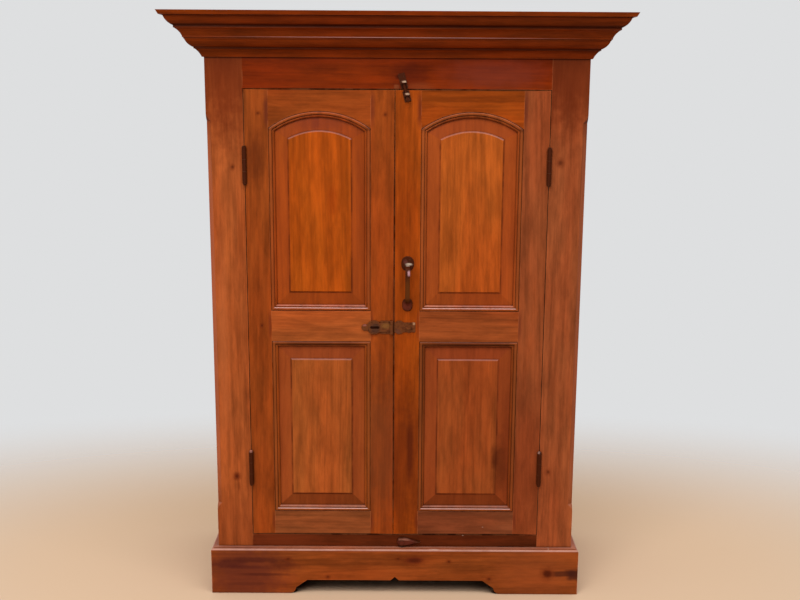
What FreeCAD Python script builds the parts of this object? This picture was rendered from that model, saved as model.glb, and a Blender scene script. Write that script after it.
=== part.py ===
import FreeCAD, Part
import math
import os
import re

import Sketcher

# Two-door pine cabinet with a moulded cornice and a bracket plinth.
# Millimetres, +Z up, front towards -Y, origin under the middle of the whole cabinet's box.
# In the formulas below y is counted from the plane of the door and stile faces, backwards.

SIZES = (
    ("total_height", 1687, "floor to the top of the cornice"),
    ("body_width", 1056, "across the two corner stiles"),
    ("body_depth", 425, "face of the stiles to the back"),
    ("corner_stile_width", 103, "front stile of the carcass"),
    ("frieze_height", 83.5, "top rail that shows between doors and cornice"),
    ("bottom_rail_height", 38, "rail under the doors"),
    ("chamfer_leg", 14, "stopped chamfer on the corner stiles, measured on each face"),
    ("chamfer_start", 110, "foot of the stile to the start of the chamfer"),
    ("chamfer_length", 1171, "chamfer with both its stops"),
    ("chamfer_stop", 26, "length of each scooped stop"),
    ("side_thickness", 20, "side planks"),
    ("side_plank_count", 3, "planks in each side"),
    ("back_thickness", 12, "back boards"),
    ("back_board_count", 6, "boards in the back"),
    ("board_tongue", 6, "tongue of the matched boards"),
    ("floor_thickness", 18, "cabinet floor"),
    ("floor_lip", 8, "floor above the bottom rail, which stops the doors"),
    ("shelf_thickness", 18, "each shelf"),
    ("shelf_count", 3, "shelves"),
    ("shelf_setback", 30, "shelf front behind the door stop"),
    ("cleat_width", 20, "shelf cleat, out from the side"),
    ("cleat_height", 28, "shelf cleat"),
    ("stop_width", 20, "strip that stops the doors at the top"),
    ("stop_drop", 12, "stop strip below the frieze rail"),
    ("stop_hold", 24, "stop strip behind the frieze rail"),
    ("tenon_length", 30, "every rail's tenon"),
    ("tenon_shoulder", 14, "tenon in from the rail's edges"),
    ("tenon_clearance", 0.2, "room at the end of a tenon or tongue"),
    ("cornice_height", 116.5, "whole cornice"),
    ("cornice_projection", 105, "top edge of the cornice beyond the body"),
    ("bed_height", 49.5, "lower moulding of the cornice"),
    ("bed_projection", 45.5, "lower moulding beyond the body"),
    ("crown_projection", 91, "upper moulding beyond the body"),
    ("top_board_thickness", 11, "board that closes the top"),
    ("top_board_slant", 6, "slant of its edge"),
    ("plinth_height", 143, "plinth"),
    ("plinth_projection", 20, "plinth beyond the body"),
    ("plinth_thickness", 28, "plinth boards"),
    ("ledge_step", 2, "small step on the plinth's ledge"),
    ("ledge_round", 7, "rounded edge of the ledge"),
    ("foot_width", 231, "front foot along the floor"),
    ("foot_toe", 21, "rounded toe of the foot, along the floor"),
    ("toe_rise", 19, "height of that toe"),
    ("foot_slope", 55, "toe and slope of the bracket together, along the floor"),
    ("cutout_height", 43, "height of the gap under the plinth"),
    ("notch_height", 11, "pointed notch in the middle of the gap"),
    ("notch_half", 12, "half the notch's width"),
    ("block_size", 45, "glue blocks inside the plinth"),
    ("door_thickness", 26, "door frame members"),
    ("door_gap", 2, "gap all round each door"),
    ("stop_gap", 0.5, "closed door to its stop"),
    ("meeting_offset", -6, "where the doors meet, from the middle"),
    ("left_door_stile", 66, "stiles of the left door"),
    ("right_door_stile", 72, "stiles of the right door"),
    ("door_bottom_rail", 72, "bottom rail of each door"),
    ("lock_rail_level", 592, "door bottom to the lock rail's lower edge"),
    ("lock_rail_height", 89, "lock rail"),
    ("door_top_rail", 58, "top rail over the crown of the arch"),
    ("arch_rise", 47, "rise of the arch"),
    ("groove_front", 8, "door face to the panel groove"),
    ("groove_width", 8, "panel groove and tenons"),
    ("groove_depth", 10, "panel groove"),
    ("panel_tongue", 9, "panel edge inside the groove"),
    ("moulding_width", 17, "moulding round the panels"),
    ("moulding_proud", 2, "bead of the moulding in front of the frame"),
    ("panel_margin", 40, "sloping margin of the panels"),
    ("panel_rise", 2.8, "rise of the margin"),
    ("field_rise", 2.7, "raised field in front of the margin"),
    ("field_slope", 4, "sloping edge of the raised field, along the panel"),
    ("hinge_length", 102, "butt hinges"),
    ("hinge_level", 208, "door end to the middle of the hinge"),
    ("knuckle_radius", 5.8, "hinge barrel"),
    ("knuckle_count", 3, "knuckles in a hinge"),
    ("metal_clearance", 0.3, "between pieces of iron that move past each other"),
    ("leaf_gap", 0.2, "between the closed leaves of a hinge"),
    ("leaf_thickness", 2.5, "hinge leaves"),
    ("leaf_width", 21, "hinge leaves"),
    ("pin_radius", 2.6, "hinge pins"),
    ("running_clearance", 0.05, "pin in its bore, on the radius"),
    ("pin_head_radius", 4.2, "heads of the hinge pins"),
    ("pin_head_height", 3, "heads of the hinge pins"),
    ("forged_flats", 12, "flats round a hammered rod or barrel"),
    ("round_flats", 20, "flats round a cut-out or filed iron plate"),
    ("handle_inset", 37, "lock edge of the right door to the pull"),
    ("handle_level", 760, "door bottom to the middle of the pull"),
    ("handle_spacing", 119, "between the middles of the pull's rosettes"),
    ("grip_spacing", 103, "between the two ends of the grip"),
    ("handle_reach", 32, "pull in front of the door"),
    ("handle_bend", 17, "bend of the pull"),
    ("grip_width", 13, "forged bar of the grip"),
    ("grip_thickness", 8, "forged bar of the grip"),
    ("grip_facet", 2.4, "worn corners of that bar"),
    ("upper_rosette_width", 35, "upper rosette"),
    ("upper_rosette_height", 42, "upper rosette"),
    ("lower_rosette_width", 29, "lower rosette"),
    ("lower_rosette_height", 38, "lower rosette"),
    ("rosette_thickness", 4, "rosettes"),
    ("rosette_bevel", 2, "bevel of the rosettes' edge"),
    ("hasp_level", 634, "door bottom to the middle of the hasp"),
    ("hasp_knuckle", 5, "radius of the hasp's barrel"),
    ("hasp_edge", 0.8, "hasp barrel inside the door's edge"),
    ("hasp_pin_radius", 2, "pin of the hasp"),
    ("hasp_barrel", 38, "length of the hasp's barrel"),
    ("hasp_middle", 15, "knuckle of the strap"),
    ("strap_thickness", 2.5, "hasp strap"),
    ("strap_reach", 86, "pin to the tip of the strap"),
    ("strap_neck", 12.5, "half the height of the strap's neck"),
    ("boss_radius", 20, "round boss of the strap"),
    ("boss_rise", 1.2, "raised middle of the boss"),
    ("tip_radius", 9, "tip of the strap"),
    ("slot_reach", 48, "pin to the middle of the slot"),
    ("slot_length", 28, "slot for the staple"),
    ("slot_height", 8, "slot for the staple"),
    ("plate_thickness", 2, "iron plates on the wood"),
    ("hasp_leaf_length", 32, "fixed leaf of the hasp"),
    ("staple_plate_length", 60, "plate with the staple"),
    ("staple_plate_wide", 28, "wider end of that plate"),
    ("staple_plate_half", 19, "half the height of its wider end"),
    ("staple_plate_narrow", 14, "half the height of its narrow end"),
    ("staple_width", 14, "between the centres of the staple's legs"),
    ("staple_reach", 17, "staple in front of the door"),
    ("staple_wire", 2.25, "half the thickness of the staple's square bar"),
    ("bolt_inset", 27, "lock edge of the right door to the bolt"),
    ("bolt_radius", 4, "top bolt"),
    ("bolt_lean", 15, "lean of the top bolt and its keeper, degrees"),
    ("bolt_setback", 3, "top of the bolt's plate below the door's edge"),
    ("bolt_plate_height", 29, "plate of the top bolt"),
    ("bolt_plate_half", 9, "half the width of that plate"),
    ("bolt_reach", 17, "bolt's end above the door's edge when it is drawn"),
    ("bolt_travel", 8, "travel of the bolt"),
    ("bolt_tail", 4, "bolt below its thumb knob"),
    ("guide_drop", 4, "top of the plate to the guide"),
    ("guide_height", 9, "guide of the bolt"),
    ("guide_wall", 2.5, "wall of the guide and the keeper"),
    ("guide_clearance", 0.15, "bolt in its guide"),
    ("knob_neck", 2.5, "radius of the bolt's thumb neck"),
    ("knob_radius", 5, "thumb knob"),
    ("knob_depth", 4, "thumb knob, front to back"),
    ("keeper_setback", 5, "foot of the keeper's plate above the door"),
    ("keeper_plate_height", 41, "plate of the keeper"),
    ("keeper_rise", 13.5, "foot of that plate to the keeper's eye"),
    ("keeper_height", 9, "keeper's eye, along the bolt"),
    ("keeper_clearance", 1.2, "bolt in the keeper's eye"),
    ("button_inset", 20, "middle of the cabinet to the button's screw"),
    ("button_drop", 21, "screw below the door opening"),
    ("button_radius", 13, "round end of the turn button"),
    ("button_reach", 56, "screw to the button's point"),
    ("button_thickness", 11, "turn button"),
    ("button_edge", 3, "bevel round the button's face"),
    ("screw_radius", 3, "screw of the button"),
    ("screw_head", 6.5, "radius of the screw's head"),
    ("screw_rise", 2.5, "height of the screw's head"),
    ("screw_depth", 16, "screw in the rail"),
    ("overrun", 4, "how far a cutting shape passes what it cuts"),
)

NAMES = {name for name, _, _ in SIZES}

# Moulding profiles as shares of their own projection and height: out, up and, where the
# line to the next point is an arc, its bulge as a share of the chord (hollow is negative).
BED_SHARES = (
    (0, 0), (0.11, 0), (0.14, 0.06, -0.06), (0.45, 0.42), (0.51, 0.43), (0.51, 0.50),
    (0.55, 0.51, 0.1), (0.96, 0.92), (1, 0.93), (1, 1), (0, 1),
)
CROWN_SHARES = (
    (0, 0), (0.53, 0), (0.53, 0.06, -0.08), (0.71, 0.41), (0.74, 0.43), (0.74, 0.53),
    (0.76, 0.54, 0.1), (0.98, 0.96), (1, 0.97), (1, 1), (0, 1),
)
# Panel moulding: inwards as a share of its width, and back from its front as a share of its
# thickness. A quirk, a bead, a second quirk and a smaller bead, all in short flats.
MOULDING_SHARES = (
    (0, 1), (0, 0.46), (0.1, 0.46), (0.11, 0.17), (0.2, 0.03), (0.33, 0), (0.46, 0.04), (0.56, 0.19),
    (0.58, 0.5), (0.66, 0.5), (0.68, 0.37), (0.79, 0.34), (0.92, 0.5), (1, 0.78), (1, 1),
)
TOE_BULGE_SHARE = 0.2
PLATE_BULGE_SHARE = 0.2
BOSS_SHARE = 0.8
THIRD_SHARE = 1 / 3
WAIST_SHARE = 2 / 3
SIDE_STEP_SHARE = 0.12

# Places that several pieces share, as formulas of the sizes above.
FACE = "(cornice_projection - body_depth) / 2"
HALF = "(body_width / 2)"
INSIDE = f"({HALF} - side_thickness)"
BODY_TOP = "(total_height - top_board_thickness)"
CORNICE_BOTTOM = "(total_height - cornice_height)"
OPENING_BOTTOM = "(plinth_height + bottom_rail_height)"
OPENING_TOP = f"({CORNICE_BOTTOM} - frieze_height)"
OPENING_HALF = f"({HALF} - corner_stile_width)"
FRAME_BACK = "(door_thickness + stop_gap)"
BOARD_FACE = "(body_depth - back_thickness)"
FLOOR_TOP = f"({OPENING_BOTTOM} + floor_lip)"
DOOR_BOTTOM = f"({OPENING_BOTTOM} + door_gap)"
DOOR_TOP = f"({OPENING_TOP} - door_gap)"
GROOVE = ("groove_front", "groove_front + groove_width")
THROUGH = ("-overrun", "door_thickness + overrun")
PIVOT_Y = "(-(knuckle_radius + metal_clearance))"
HASP_Y = "(-(hasp_knuckle + metal_clearance))"
HASP_Z = f"({DOOR_BOTTOM} + hasp_level)"
BOLT_Y = "(-(plate_thickness + bolt_radius + guide_clearance))"
BOLT_X = "(meeting_offset + door_gap / 2 + bolt_inset)"
BUTTON_Z = f"({OPENING_BOTTOM} - button_drop)"

doc = FreeCAD.newDocument("Cabinet")
sizes = doc.addObject("Spreadsheet::Sheet", "Sizes")
pieces = []


def fill_sheet():
    """Write every driving size, its name and its meaning into the spreadsheet."""
    for row, (name, value, meaning) in enumerate(SIZES, start=1):
        sizes.set(f"A{row}", meaning)
        sizes.set(f"B{row}", str(value))
        sizes.setAlias(f"B{row}", name)
    doc.recompute()


def ref(formula):
    """Turn the plain names in a formula into references to the sheet's cells."""
    return re.sub(r"[A-Za-z_]+", lambda m: f"Sizes.{m[0]}" if m[0] in NAMES else m[0], str(formula))


def value(formula):
    return float(sizes.evalExpression(ref(formula)))


def bind(obj, place, formula):
    obj.setExpression(place, ref(formula))


def put(obj, x="0", y="0", z="0"):
    """Place an object: x and z in the cabinet's frame, y from the face plane."""
    for letter, formula in zip("xyz", (x, f"{FACE} + ({y})", z)):
        bind(obj, f"Placement.Base.{letter}", formula)
    return obj


def keep(node, obj):
    """Name a finished sub-part, which is written to its own file."""
    obj.Label = node
    pieces.append((node, obj))
    return obj


# Solids from primitives

def box(x, y, z):
    """A block between a low and a high formula on each axis."""
    block = doc.addObject("Part::Box", "Block")
    for side, (low, high) in zip(("Length", "Width", "Height"), (x, y, z)):
        bind(block, side, f"({high}) - ({low})")
    return put(block, x[0], y[0], z[0])


TURNS = {"x": ((0, 1, 0), 90), "y": ((1, 0, 0), -90), "z": ((0, 0, 1), 0)}


def rod(radius, length, x, y, z, axis="z"):
    """A cylinder that starts at a point and runs along an axis."""
    cylinder = doc.addObject("Part::Cylinder", "Rod")
    bind(cylinder, "Radius", radius)
    return lay_along(cylinder, length, x, y, z, axis)


def forged_rod(radius, length, x, y, z, axis="z"):
    """A hammered rod: round, but made of as many flats as the sheet says."""
    prism = doc.addObject("Part::Prism", "Rod")
    bind(prism, "Polygon", "forged_flats")
    bind(prism, "Circumradius", radius)
    return lay_along(prism, length, x, y, z, axis)


def lay_along(bar, length, x, y, z, axis):
    """Give a rod its length and turn it along an axis, with its start at a point."""
    bind(bar, "Height", length)
    around, angle = TURNS[axis]
    turn = FreeCAD.Rotation(FreeCAD.Vector(*around), angle)
    bar.Placement = FreeCAD.Placement(FreeCAD.Vector(), turn)
    return put(bar, x, y, z)


def fuse(*parts):
    if len(parts) == 1:
        return parts[0]
    joined = doc.addObject("Part::MultiFuse", "Joined")
    joined.Shapes = list(parts)
    joined.Refine = True
    return joined


def cut(base, *tools):
    left = doc.addObject("Part::Cut", "CutPiece")
    left.Base = base
    left.Tool = fuse(*tools)
    left.Refine = True
    return left


def group(parts):
    """Several separate solids of one kind in one sub-part."""
    together = doc.addObject("Part::Compound", "Group")
    together.Links = list(parts)
    return together


# Solids from sketches

def new_body(x="0", y="0", z="0", turn=0):
    """A body whose own frame stands at a point, turned about the front-to-back axis."""
    body = doc.addObject("PartDesign::Body", "Body")
    body.Placement = FreeCAD.Placement(FreeCAD.Vector(), FreeCAD.Rotation(FreeCAD.Vector(0, 1, 0), turn))
    return put(body, x, y, z)


def new_sketch(body, plane, level="0"):
    """A sketch on one of the body's origin planes, moved along that plane's axis."""
    sketch = body.newObject("Sketcher::SketchObject", "Outline")
    base = [p for p in body.Origin.OriginFeatures if p.Role == f"{plane}_Plane"][0]
    sketch.AttachmentSupport = [(base, "")]
    sketch.MapMode = "FlatFace"
    bind(sketch, "AttachmentOffset.Base.z", f"-({level})" if plane == "XZ" else level)
    return sketch


def arc_centre(start, end, radius, left):
    chord = end - start
    middle = (start + end) * 0.5
    across = FreeCAD.Vector(-chord.y, chord.x, 0).normalize()
    rise = math.sqrt(max(radius ** 2 - chord.Length ** 2 / 4, 0))
    return middle + across * (rise if left else -rise)


def angle_of(point, centre):
    return math.atan2(point.y - centre.y, point.x - centre.x)


def draw(sketch, corners, closed=True):
    """Lines and arcs through the corners, each tied to the sheet.

    A corner is (u, v), (u, v, bulge share) or (u, v, radius, side); the last two start an arc,
    and a positive bulge or side puts its centre on the left of the way to the next corner.
    """
    spots = [FreeCAD.Vector(value(c[0]), value(c[1]), 0) for c in corners]
    count = len(corners)
    steps = count if closed else count - 1
    first = sketch.GeometryCount
    ends = []
    for i in range(steps):
        start, end = spots[i], spots[(i + 1) % count]
        corner = corners[i]
        if len(corner) == 2:
            sketch.addGeometry(Part.LineSegment(start, end))
            ends.append((1, 2))
            continue
        radius, side = arc_size(corner, corners[(i + 1) % count])
        centre = arc_centre(start, end, value(radius), side > 0)
        circle = Part.Circle(centre, FreeCAD.Vector(0, 0, 1), value(radius))
        if side > 0:
            sketch.addGeometry(Part.ArcOfCircle(circle, angle_of(start, centre), angle_of(end, centre)))
            ends.append((1, 2))
        else:
            sketch.addGeometry(Part.ArcOfCircle(circle, angle_of(end, centre), angle_of(start, centre)))
            ends.append((2, 1))
        tie(sketch, Sketcher.Constraint("Radius", first + i, value(radius)), radius)
    for i in range(steps if closed else steps - 1):
        after = (i + 1) % steps
        meeting = (first + i, ends[i][1], first + after, ends[after][0])
        sketch.addConstraint(Sketcher.Constraint("Coincident", *meeting))
    for i, corner in enumerate(corners):
        geometry, end = (i, ends[i][0]) if i < steps else (steps - 1, ends[-1][1])
        for kind, formula in (("DistanceX", corner[0]), ("DistanceY", corner[1])):
            tie(sketch, Sketcher.Constraint(kind, -1, 1, first + geometry, end, value(formula)), formula)
    return sketch


def arc_size(corner, after):
    """The radius formula of the arc that starts at a corner, and the side of its centre."""
    if len(corner) == 4:
        return corner[2], corner[3]
    bulge = abs(corner[2])
    per_chord = 1 / (8 * bulge) + bulge / 2
    chord = f"sqrt((({after[0]}) - ({corner[0]}))^2 + (({after[1]}) - ({corner[1]}))^2)"
    return f"{chord} * {per_chord}", corner[2]


def tie(sketch, constraint, formula):
    number = sketch.addConstraint(constraint)
    bind(sketch, f"Constraints[{number}]", formula)


def flats(u, v, radius, start, end):
    """Corners along an arc between two angles, for an outline that is filed in short flats."""
    steps = round(value("round_flats") * (value(end) - value(start)) / 360)
    corners = []
    for i in range(steps + 1):
        angle = f"({start}) + (({end}) - ({start})) * {i / steps}"
        corners.append((f"{u} + {radius} * cos({angle})", f"{v} + {radius} * sin({angle})"))
    return corners


def pad(body, plane, corners, start, end):
    """Raise an outline between two levels of the plane's axis."""
    feature = body.newObject("PartDesign::Pad", "Pad")
    feature.Profile = draw(new_sketch(body, plane, start), corners)
    bind(feature, "Length", f"({end}) - ({start})")
    feature.Reversed = plane == "XZ"
    doc.recompute()
    return feature


def pocket(body, plane, corners, start, end):
    """Cut an outline away between two levels, and make sure that something went."""
    before = body.Shape.Volume
    sketch = draw(new_sketch(body, plane, start), corners)
    feature = body.newObject("PartDesign::Pocket", "Pocket")
    feature.Profile = sketch
    bind(feature, "Length", f"({end}) - ({start})")
    feature.Reversed = plane != "XZ"
    doc.recompute()
    if not body.Shape.Volume < before:
        raise RuntimeError(f"a pocket in {body.Label} cuts nothing")
    return feature


def spin(body, sketch, axis, angle=None):
    """Turn an outline about one of its sketch's axes, all round or through an angle."""
    feature = body.newObject("PartDesign::Revolution", "Spin")
    feature.Profile = sketch
    feature.ReferenceAxis = (sketch, [axis])
    if angle:
        feature.Midplane = True
        bind(feature, "Angle", angle)
    doc.recompute()
    return feature


def pipe(body, profile, path):
    feature = body.newObject("PartDesign::AdditivePipe", "Pipe")
    feature.Profile = profile
    feature.Spine = path
    doc.recompute()
    return feature


def rectangle(low_u, low_v, high_u, high_v):
    return ((low_u, low_v), (high_u, low_v), (high_u, high_v), (low_u, high_v))


# Carcass

def both_ways(side, near, far):
    """A span measured outwards from the middle, on the left (-1) or the right (1)."""
    return (near, far) if side > 0 else (f"-({far})", f"-({near})")


def corner_stile(side):
    """A front stile with a stopped chamfer, mortises for both rails and hinge recesses."""
    name = "right" if side > 0 else "left"
    board = box(both_ways(side, OPENING_HALF, HALF), ("0", FRAME_BACK), ("plinth_height", BODY_TOP))
    tools = [chamfer_cutter(side)]
    for low, high in (rail_tenon("plinth_height", OPENING_BOTTOM), rail_tenon(OPENING_TOP, BODY_TOP)):
        reach = both_ways(side, OPENING_HALF, f"{OPENING_HALF} + tenon_length + tenon_clearance")
        tools.append(box(reach, GROOVE, (low, high)))
    door = DOORS[name]
    for level in hinge_levels():
        recess = across(door, f"-({FRAME_LEAF[1]})", "-door_gap / 2")
        tools.append(box(recess, ("-overrun", LEAF_BACK), level))
    keep(f"{name}_stile", cut(board, *tools))


def chamfer_cutter(side):
    """The wedge that leaves the chamfer, with a scoop at each end, turned to 45 degrees."""
    start = "(plinth_height + chamfer_start)"
    end = f"({start} + chamfer_length)"
    depth = "(chamfer_leg / sqrt(2))"
    scoop = "((chamfer_stop^2 + (chamfer_leg^2) / 2) / (2 * chamfer_leg / sqrt(2)))"
    body = doc.addObject("PartDesign::Body", "ChamferCutter")
    turn = FreeCAD.Rotation(FreeCAD.Vector(0, 0, 1), side * 45)
    body.Placement = FreeCAD.Placement(FreeCAD.Vector(), turn)
    put(body, HALF if side > 0 else f"-{HALF}", "0", "0")
    corners = (
        ("0", start, scoop, -1), (depth, f"{start} + chamfer_stop"),
        (depth, f"{end} - chamfer_stop", scoop, -1),
        ("0", end), ("-overrun", end), ("-overrun", start),
    )
    pad(body, "YZ", corners, "-chamfer_leg", "chamfer_leg")
    return body


def rail_tenon(low, high):
    return f"({low}) + tenon_shoulder / 2", f"({high}) - tenon_shoulder / 2"


def carcass_rail(node, low, high, *holes):
    """A rail between the corner stiles, with a tenon at each end."""
    parts = [box((f"-{OPENING_HALF}", OPENING_HALF), ("0", FRAME_BACK), (low, high))]
    for side in (-1, 1):
        reach = both_ways(side, OPENING_HALF, f"{OPENING_HALF} + tenon_length")
        parts.append(box(reach, GROOVE, rail_tenon(low, high)))
    rail = fuse(*parts)
    keep(node, cut(rail, *holes) if holes else rail)


def matched_boards(count, low, high, place, thickness):
    """Boards side by side, each with a tongue that enters the next one's groove."""
    third = f"({thickness[1]} - ({thickness[0]})) * {THIRD_SHARE}"
    core = (f"{thickness[0]} + {third}", f"{thickness[1]} - {third}")
    boards = []
    for i in range(count):
        near = f"({low} + (({high}) - ({low})) * {i / count})"
        far = f"({low} + (({high}) - ({low})) * {(i + 1) / count})"
        board = box(*place((near, far), thickness))
        if i < count - 1:
            board = fuse(board, box(*place((far, f"{far} + board_tongue"), core)))
        if i:
            board = cut(board, box(*place((near, f"{near} + board_tongue + tenon_clearance"), core)))
        boards.append(board)
    return boards


def carcass_boards():
    """Sides, back, floor, shelves and the strips that carry them."""
    upright = ("plinth_height", BODY_TOP)
    for side, name in ((-1, "left"), (1, "right")):
        planks = matched_boards(
            int(value("side_plank_count")), FRAME_BACK, "body_depth",
            lambda run, thick: (thick, run, upright), both_ways(side, INSIDE, HALF),
        )
        keep(f"{name}_side_planks", group(planks))
    keep("back_boards", group(matched_boards(
        int(value("back_board_count")), f"-{INSIDE}", INSIDE,
        lambda run, thick: (run, thick, upright), (BOARD_FACE, "body_depth"),
    )))
    inner = (f"-{INSIDE}", INSIDE)
    floor_bottom = f"({FLOOR_TOP} - floor_thickness)"
    keep("floor_board", box(inner, (FRAME_BACK, BOARD_FACE), (floor_bottom, FLOOR_TOP)))
    front = f"({FRAME_BACK} + shelf_setback)"
    cleats = []
    for i, name in enumerate(("lower", "middle", "upper")[:int(value("shelf_count"))], start=1):
        room = f"(({BODY_TOP} - {FLOOR_TOP} - shelf_count * shelf_thickness) / (shelf_count + 1))"
        low = f"({FLOOR_TOP} + {i} * {room} + {i - 1} * shelf_thickness)"
        keep(f"{name}_shelf", box(inner, (front, BOARD_FACE), (low, f"{low} + shelf_thickness")))
        cleats += side_cleats(front, f"{low} - cleat_height", low)
    cleats += side_cleats(FRAME_BACK, "plinth_height", floor_bottom)
    keep("cleats", group(cleats))
    keep("door_stop", box(
        inner, (FRAME_BACK, f"{FRAME_BACK} + stop_width"),
        (f"{OPENING_TOP} - stop_drop", f"{OPENING_TOP} + stop_hold"),
    ))


def side_cleats(front, low, high):
    return [
        box(both_ways(side, f"{INSIDE} - cleat_width", INSIDE), (front, BOARD_FACE), (low, high))
        for side in (-1, 1)
    ]


# Cornice and plinth

def profile(shares, out, origin, base, height, side):
    """A moulding's outline from its shares, on the side of the origin that side gives."""
    corners = []
    for share in shares:
        place = (f"{origin} + {side} * {share[0]} * {out}", f"{base} + {share[1]} * ({height})")
        corners.append(place + ((side * share[2],) if len(share) > 2 else ()))
    return corners


def mitre_front(body, out, within, low, high):
    """Cut both ends of a front length at 45 degrees, through the body's corners."""
    for side in (-1, 1):
        corner = f"{side} * ({HALF} - {within})"
        far = f"{side} * ({HALF} + {out} + overrun)"
        pocket(body, "XY", ((corner, within), (far, f"-({out} + overrun)"), (far, within)), low, high)


def mitre_side(body, out, within, side, low, high):
    """Cut the front end of a side length at 45 degrees."""
    corner = f"{side} * ({HALF} - {within})"
    far = f"{side} * ({HALF} + {out} + overrun)"
    ahead = f"-({out} + overrun)"
    pocket(body, "XY", ((corner, within), (corner, ahead), (far, ahead)), low, high)


def moulding_run(prefix, outline, out, within, low, high):
    """Three lengths of one profile round the front and sides, mitred at the corners."""
    front = new_body()
    pad(front, "YZ", outline("0", -1), f"-({HALF} + {out})", f"{HALF} + {out}")
    mitre_front(front, out, within, low, high)
    keep(f"{prefix}_front", front)
    for side, name in ((-1, "left"), (1, "right")):
        length = new_body()
        pad(length, "XZ", outline(f"{side} * {HALF}", side), f"-({out})", "body_depth")
        mitre_side(length, out, within, side, low, high)
        keep(f"{prefix}_{name}", length)
    return front


def cornice():
    bed_top = f"({CORNICE_BOTTOM} + bed_height)"
    crown_height = f"{BODY_TOP} - {bed_top}"

    def bed(origin, side):
        return profile(BED_SHARES, "bed_projection", origin, CORNICE_BOTTOM, "bed_height", side)

    def crown(origin, side):
        return profile(CROWN_SHARES, "crown_projection", origin, bed_top, crown_height, side)

    moulding_run("bed_moulding", bed, "bed_projection", "0", CORNICE_BOTTOM, bed_top)
    moulding_run("crown_moulding", crown, "crown_projection", "0", bed_top, BODY_TOP)
    top = new_body()
    loft = top.newObject("PartDesign::AdditiveLoft", "Slanted")
    levels = ((BODY_TOP, "(cornice_projection - top_board_slant)"), ("total_height", "cornice_projection"))
    sections = []
    for level, out in levels:
        edge = rectangle(f"-({HALF} + {out})", f"-{out}", f"{HALF} + {out}", "body_depth")
        sections.append(draw(new_sketch(top, "XY", level), edge))
    loft.Profile = sections[0]
    loft.Sections = sections[1:]
    loft.Ruled = True
    top.Tip = loft
    doc.recompute()
    keep("top_board", top)


def plinth_outline(origin, side):
    """Plinth board with the small step and rounded edge of its ledge."""
    outer = f"{origin} + {side} * plinth_projection"
    inner = f"{origin} + {side} * (plinth_projection - plinth_thickness)"
    edge = f"{origin} + {side} * (plinth_projection - ledge_round)"
    shoulder = "plinth_height - ledge_step"
    return (
        (inner, "0"), (outer, "0"), (outer, f"{shoulder} - ledge_round", "ledge_round", side),
        (edge, shoulder), (edge, "plinth_height"), (inner, "plinth_height"),
    )


def plinth():
    within = "(plinth_thickness - plinth_projection)"
    front = moulding_run("plinth", plinth_outline, "plinth_projection", within, "0", "plinth_height")
    foot = f"({HALF} + plinth_projection - foot_width)"
    toe = f"({foot} - foot_toe)"
    knee = f"({foot} - foot_slope)"
    gap = (
        (f"-{foot}", "-overrun"), (foot, "-overrun"), (foot, "0", -TOE_BULGE_SHARE),
        (toe, "toe_rise"), (knee, "cutout_height"),
        ("notch_half", "cutout_height"), ("0", "cutout_height + notch_height"),
        ("-notch_half", "cutout_height"), (f"-{knee}", "cutout_height"),
        (f"-{toe}", "toe_rise", -TOE_BULGE_SHARE), (f"-{foot}", "0"),
    )
    pocket(front, "XZ", gap, "-(plinth_projection + overrun)", "plinth_thickness")
    inner = f"({HALF} + plinth_projection - plinth_thickness)"
    back_face = "(body_depth - plinth_thickness)"
    keep("plinth_back", box((f"-{inner}", inner), (back_face, "body_depth"), ("0", "plinth_height")))
    blocks = []
    for side in (-1, 1):
        span = both_ways(side, f"{inner} - block_size", inner)
        for y in ((within, f"{within} + block_size"), (f"{back_face} - block_size", back_face)):
            blocks.append(box(span, y, ("0", "plinth_height")))
    keep("plinth_blocks", group(blocks))


# Doors

class Door:
    """One door: its side, its stile width and its two edges."""

    def __init__(self, side, stile):
        self.side = side
        self.stile = stile
        self.name = "right_door" if side > 0 else "left_door"
        self.edge = f"({side} * ({OPENING_HALF} - door_gap))"
        self.width = f"({OPENING_HALF} - door_gap - door_gap / 2 - ({side} * meeting_offset))"
        self.opening = f"({self.width} - 2 * {stile})"
        self.middle = f"({self.edge} - {side} * {self.width} / 2)"
        self.pivot = f"({side} * ({OPENING_HALF} - door_gap / 2))"
        self.radius = f"((({self.opening} / 2)^2 + arch_rise^2) / (2 * arch_rise))"


DOORS = {"left": Door(-1, "left_door_stile"), "right": Door(1, "right_door_stile")}

LOWER_BOTTOM = f"({DOOR_BOTTOM} + door_bottom_rail)"
LOWER_TOP = f"({DOOR_BOTTOM} + lock_rail_level)"
UPPER_BOTTOM = f"({LOWER_TOP} + lock_rail_height)"
CROWN = f"({DOOR_TOP} - door_top_rail)"
SPRING = f"({CROWN} - arch_rise)"
FRAME_LEAF = ("leaf_gap / 2", "door_gap / 2 + leaf_gap / 2 + leaf_thickness")
DOOR_LEAF_DEPTH = "(leaf_gap / 2 + leaf_thickness - door_gap / 2)"
LEAF_BACK = "(metal_clearance + leaf_width)"
FLAT_TO_CORNER = "(1 / cos(180 deg / forged_flats))"


def across(door, near, far):
    """A span measured from the door's hinge edge towards its lock edge."""
    if door.side < 0:
        return f"{door.edge} + ({near})", f"{door.edge} + ({far})"
    return f"{door.edge} - ({far})", f"{door.edge} - ({near})"


def hinge_levels():
    """The low and high ends of the lower and the upper hinge."""
    spans = []
    for middle in (f"{DOOR_BOTTOM} + hinge_level", f"{DOOR_TOP} - hinge_level"):
        spans.append((f"({middle} - hinge_length / 2)", f"({middle} + hinge_length / 2)"))
    return spans


def tenon_span(low, high):
    return f"({low}) + tenon_shoulder", f"({high}) - tenon_shoulder"


def door_rails():
    """Low edge, high edge and tenon of each rail, from the bottom up."""
    return {
        "bottom_rail": (DOOR_BOTTOM, LOWER_BOTTOM),
        "lock_rail": (LOWER_TOP, UPPER_BOTTOM),
        "top_rail": (SPRING, DOOR_TOP),
    }


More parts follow.
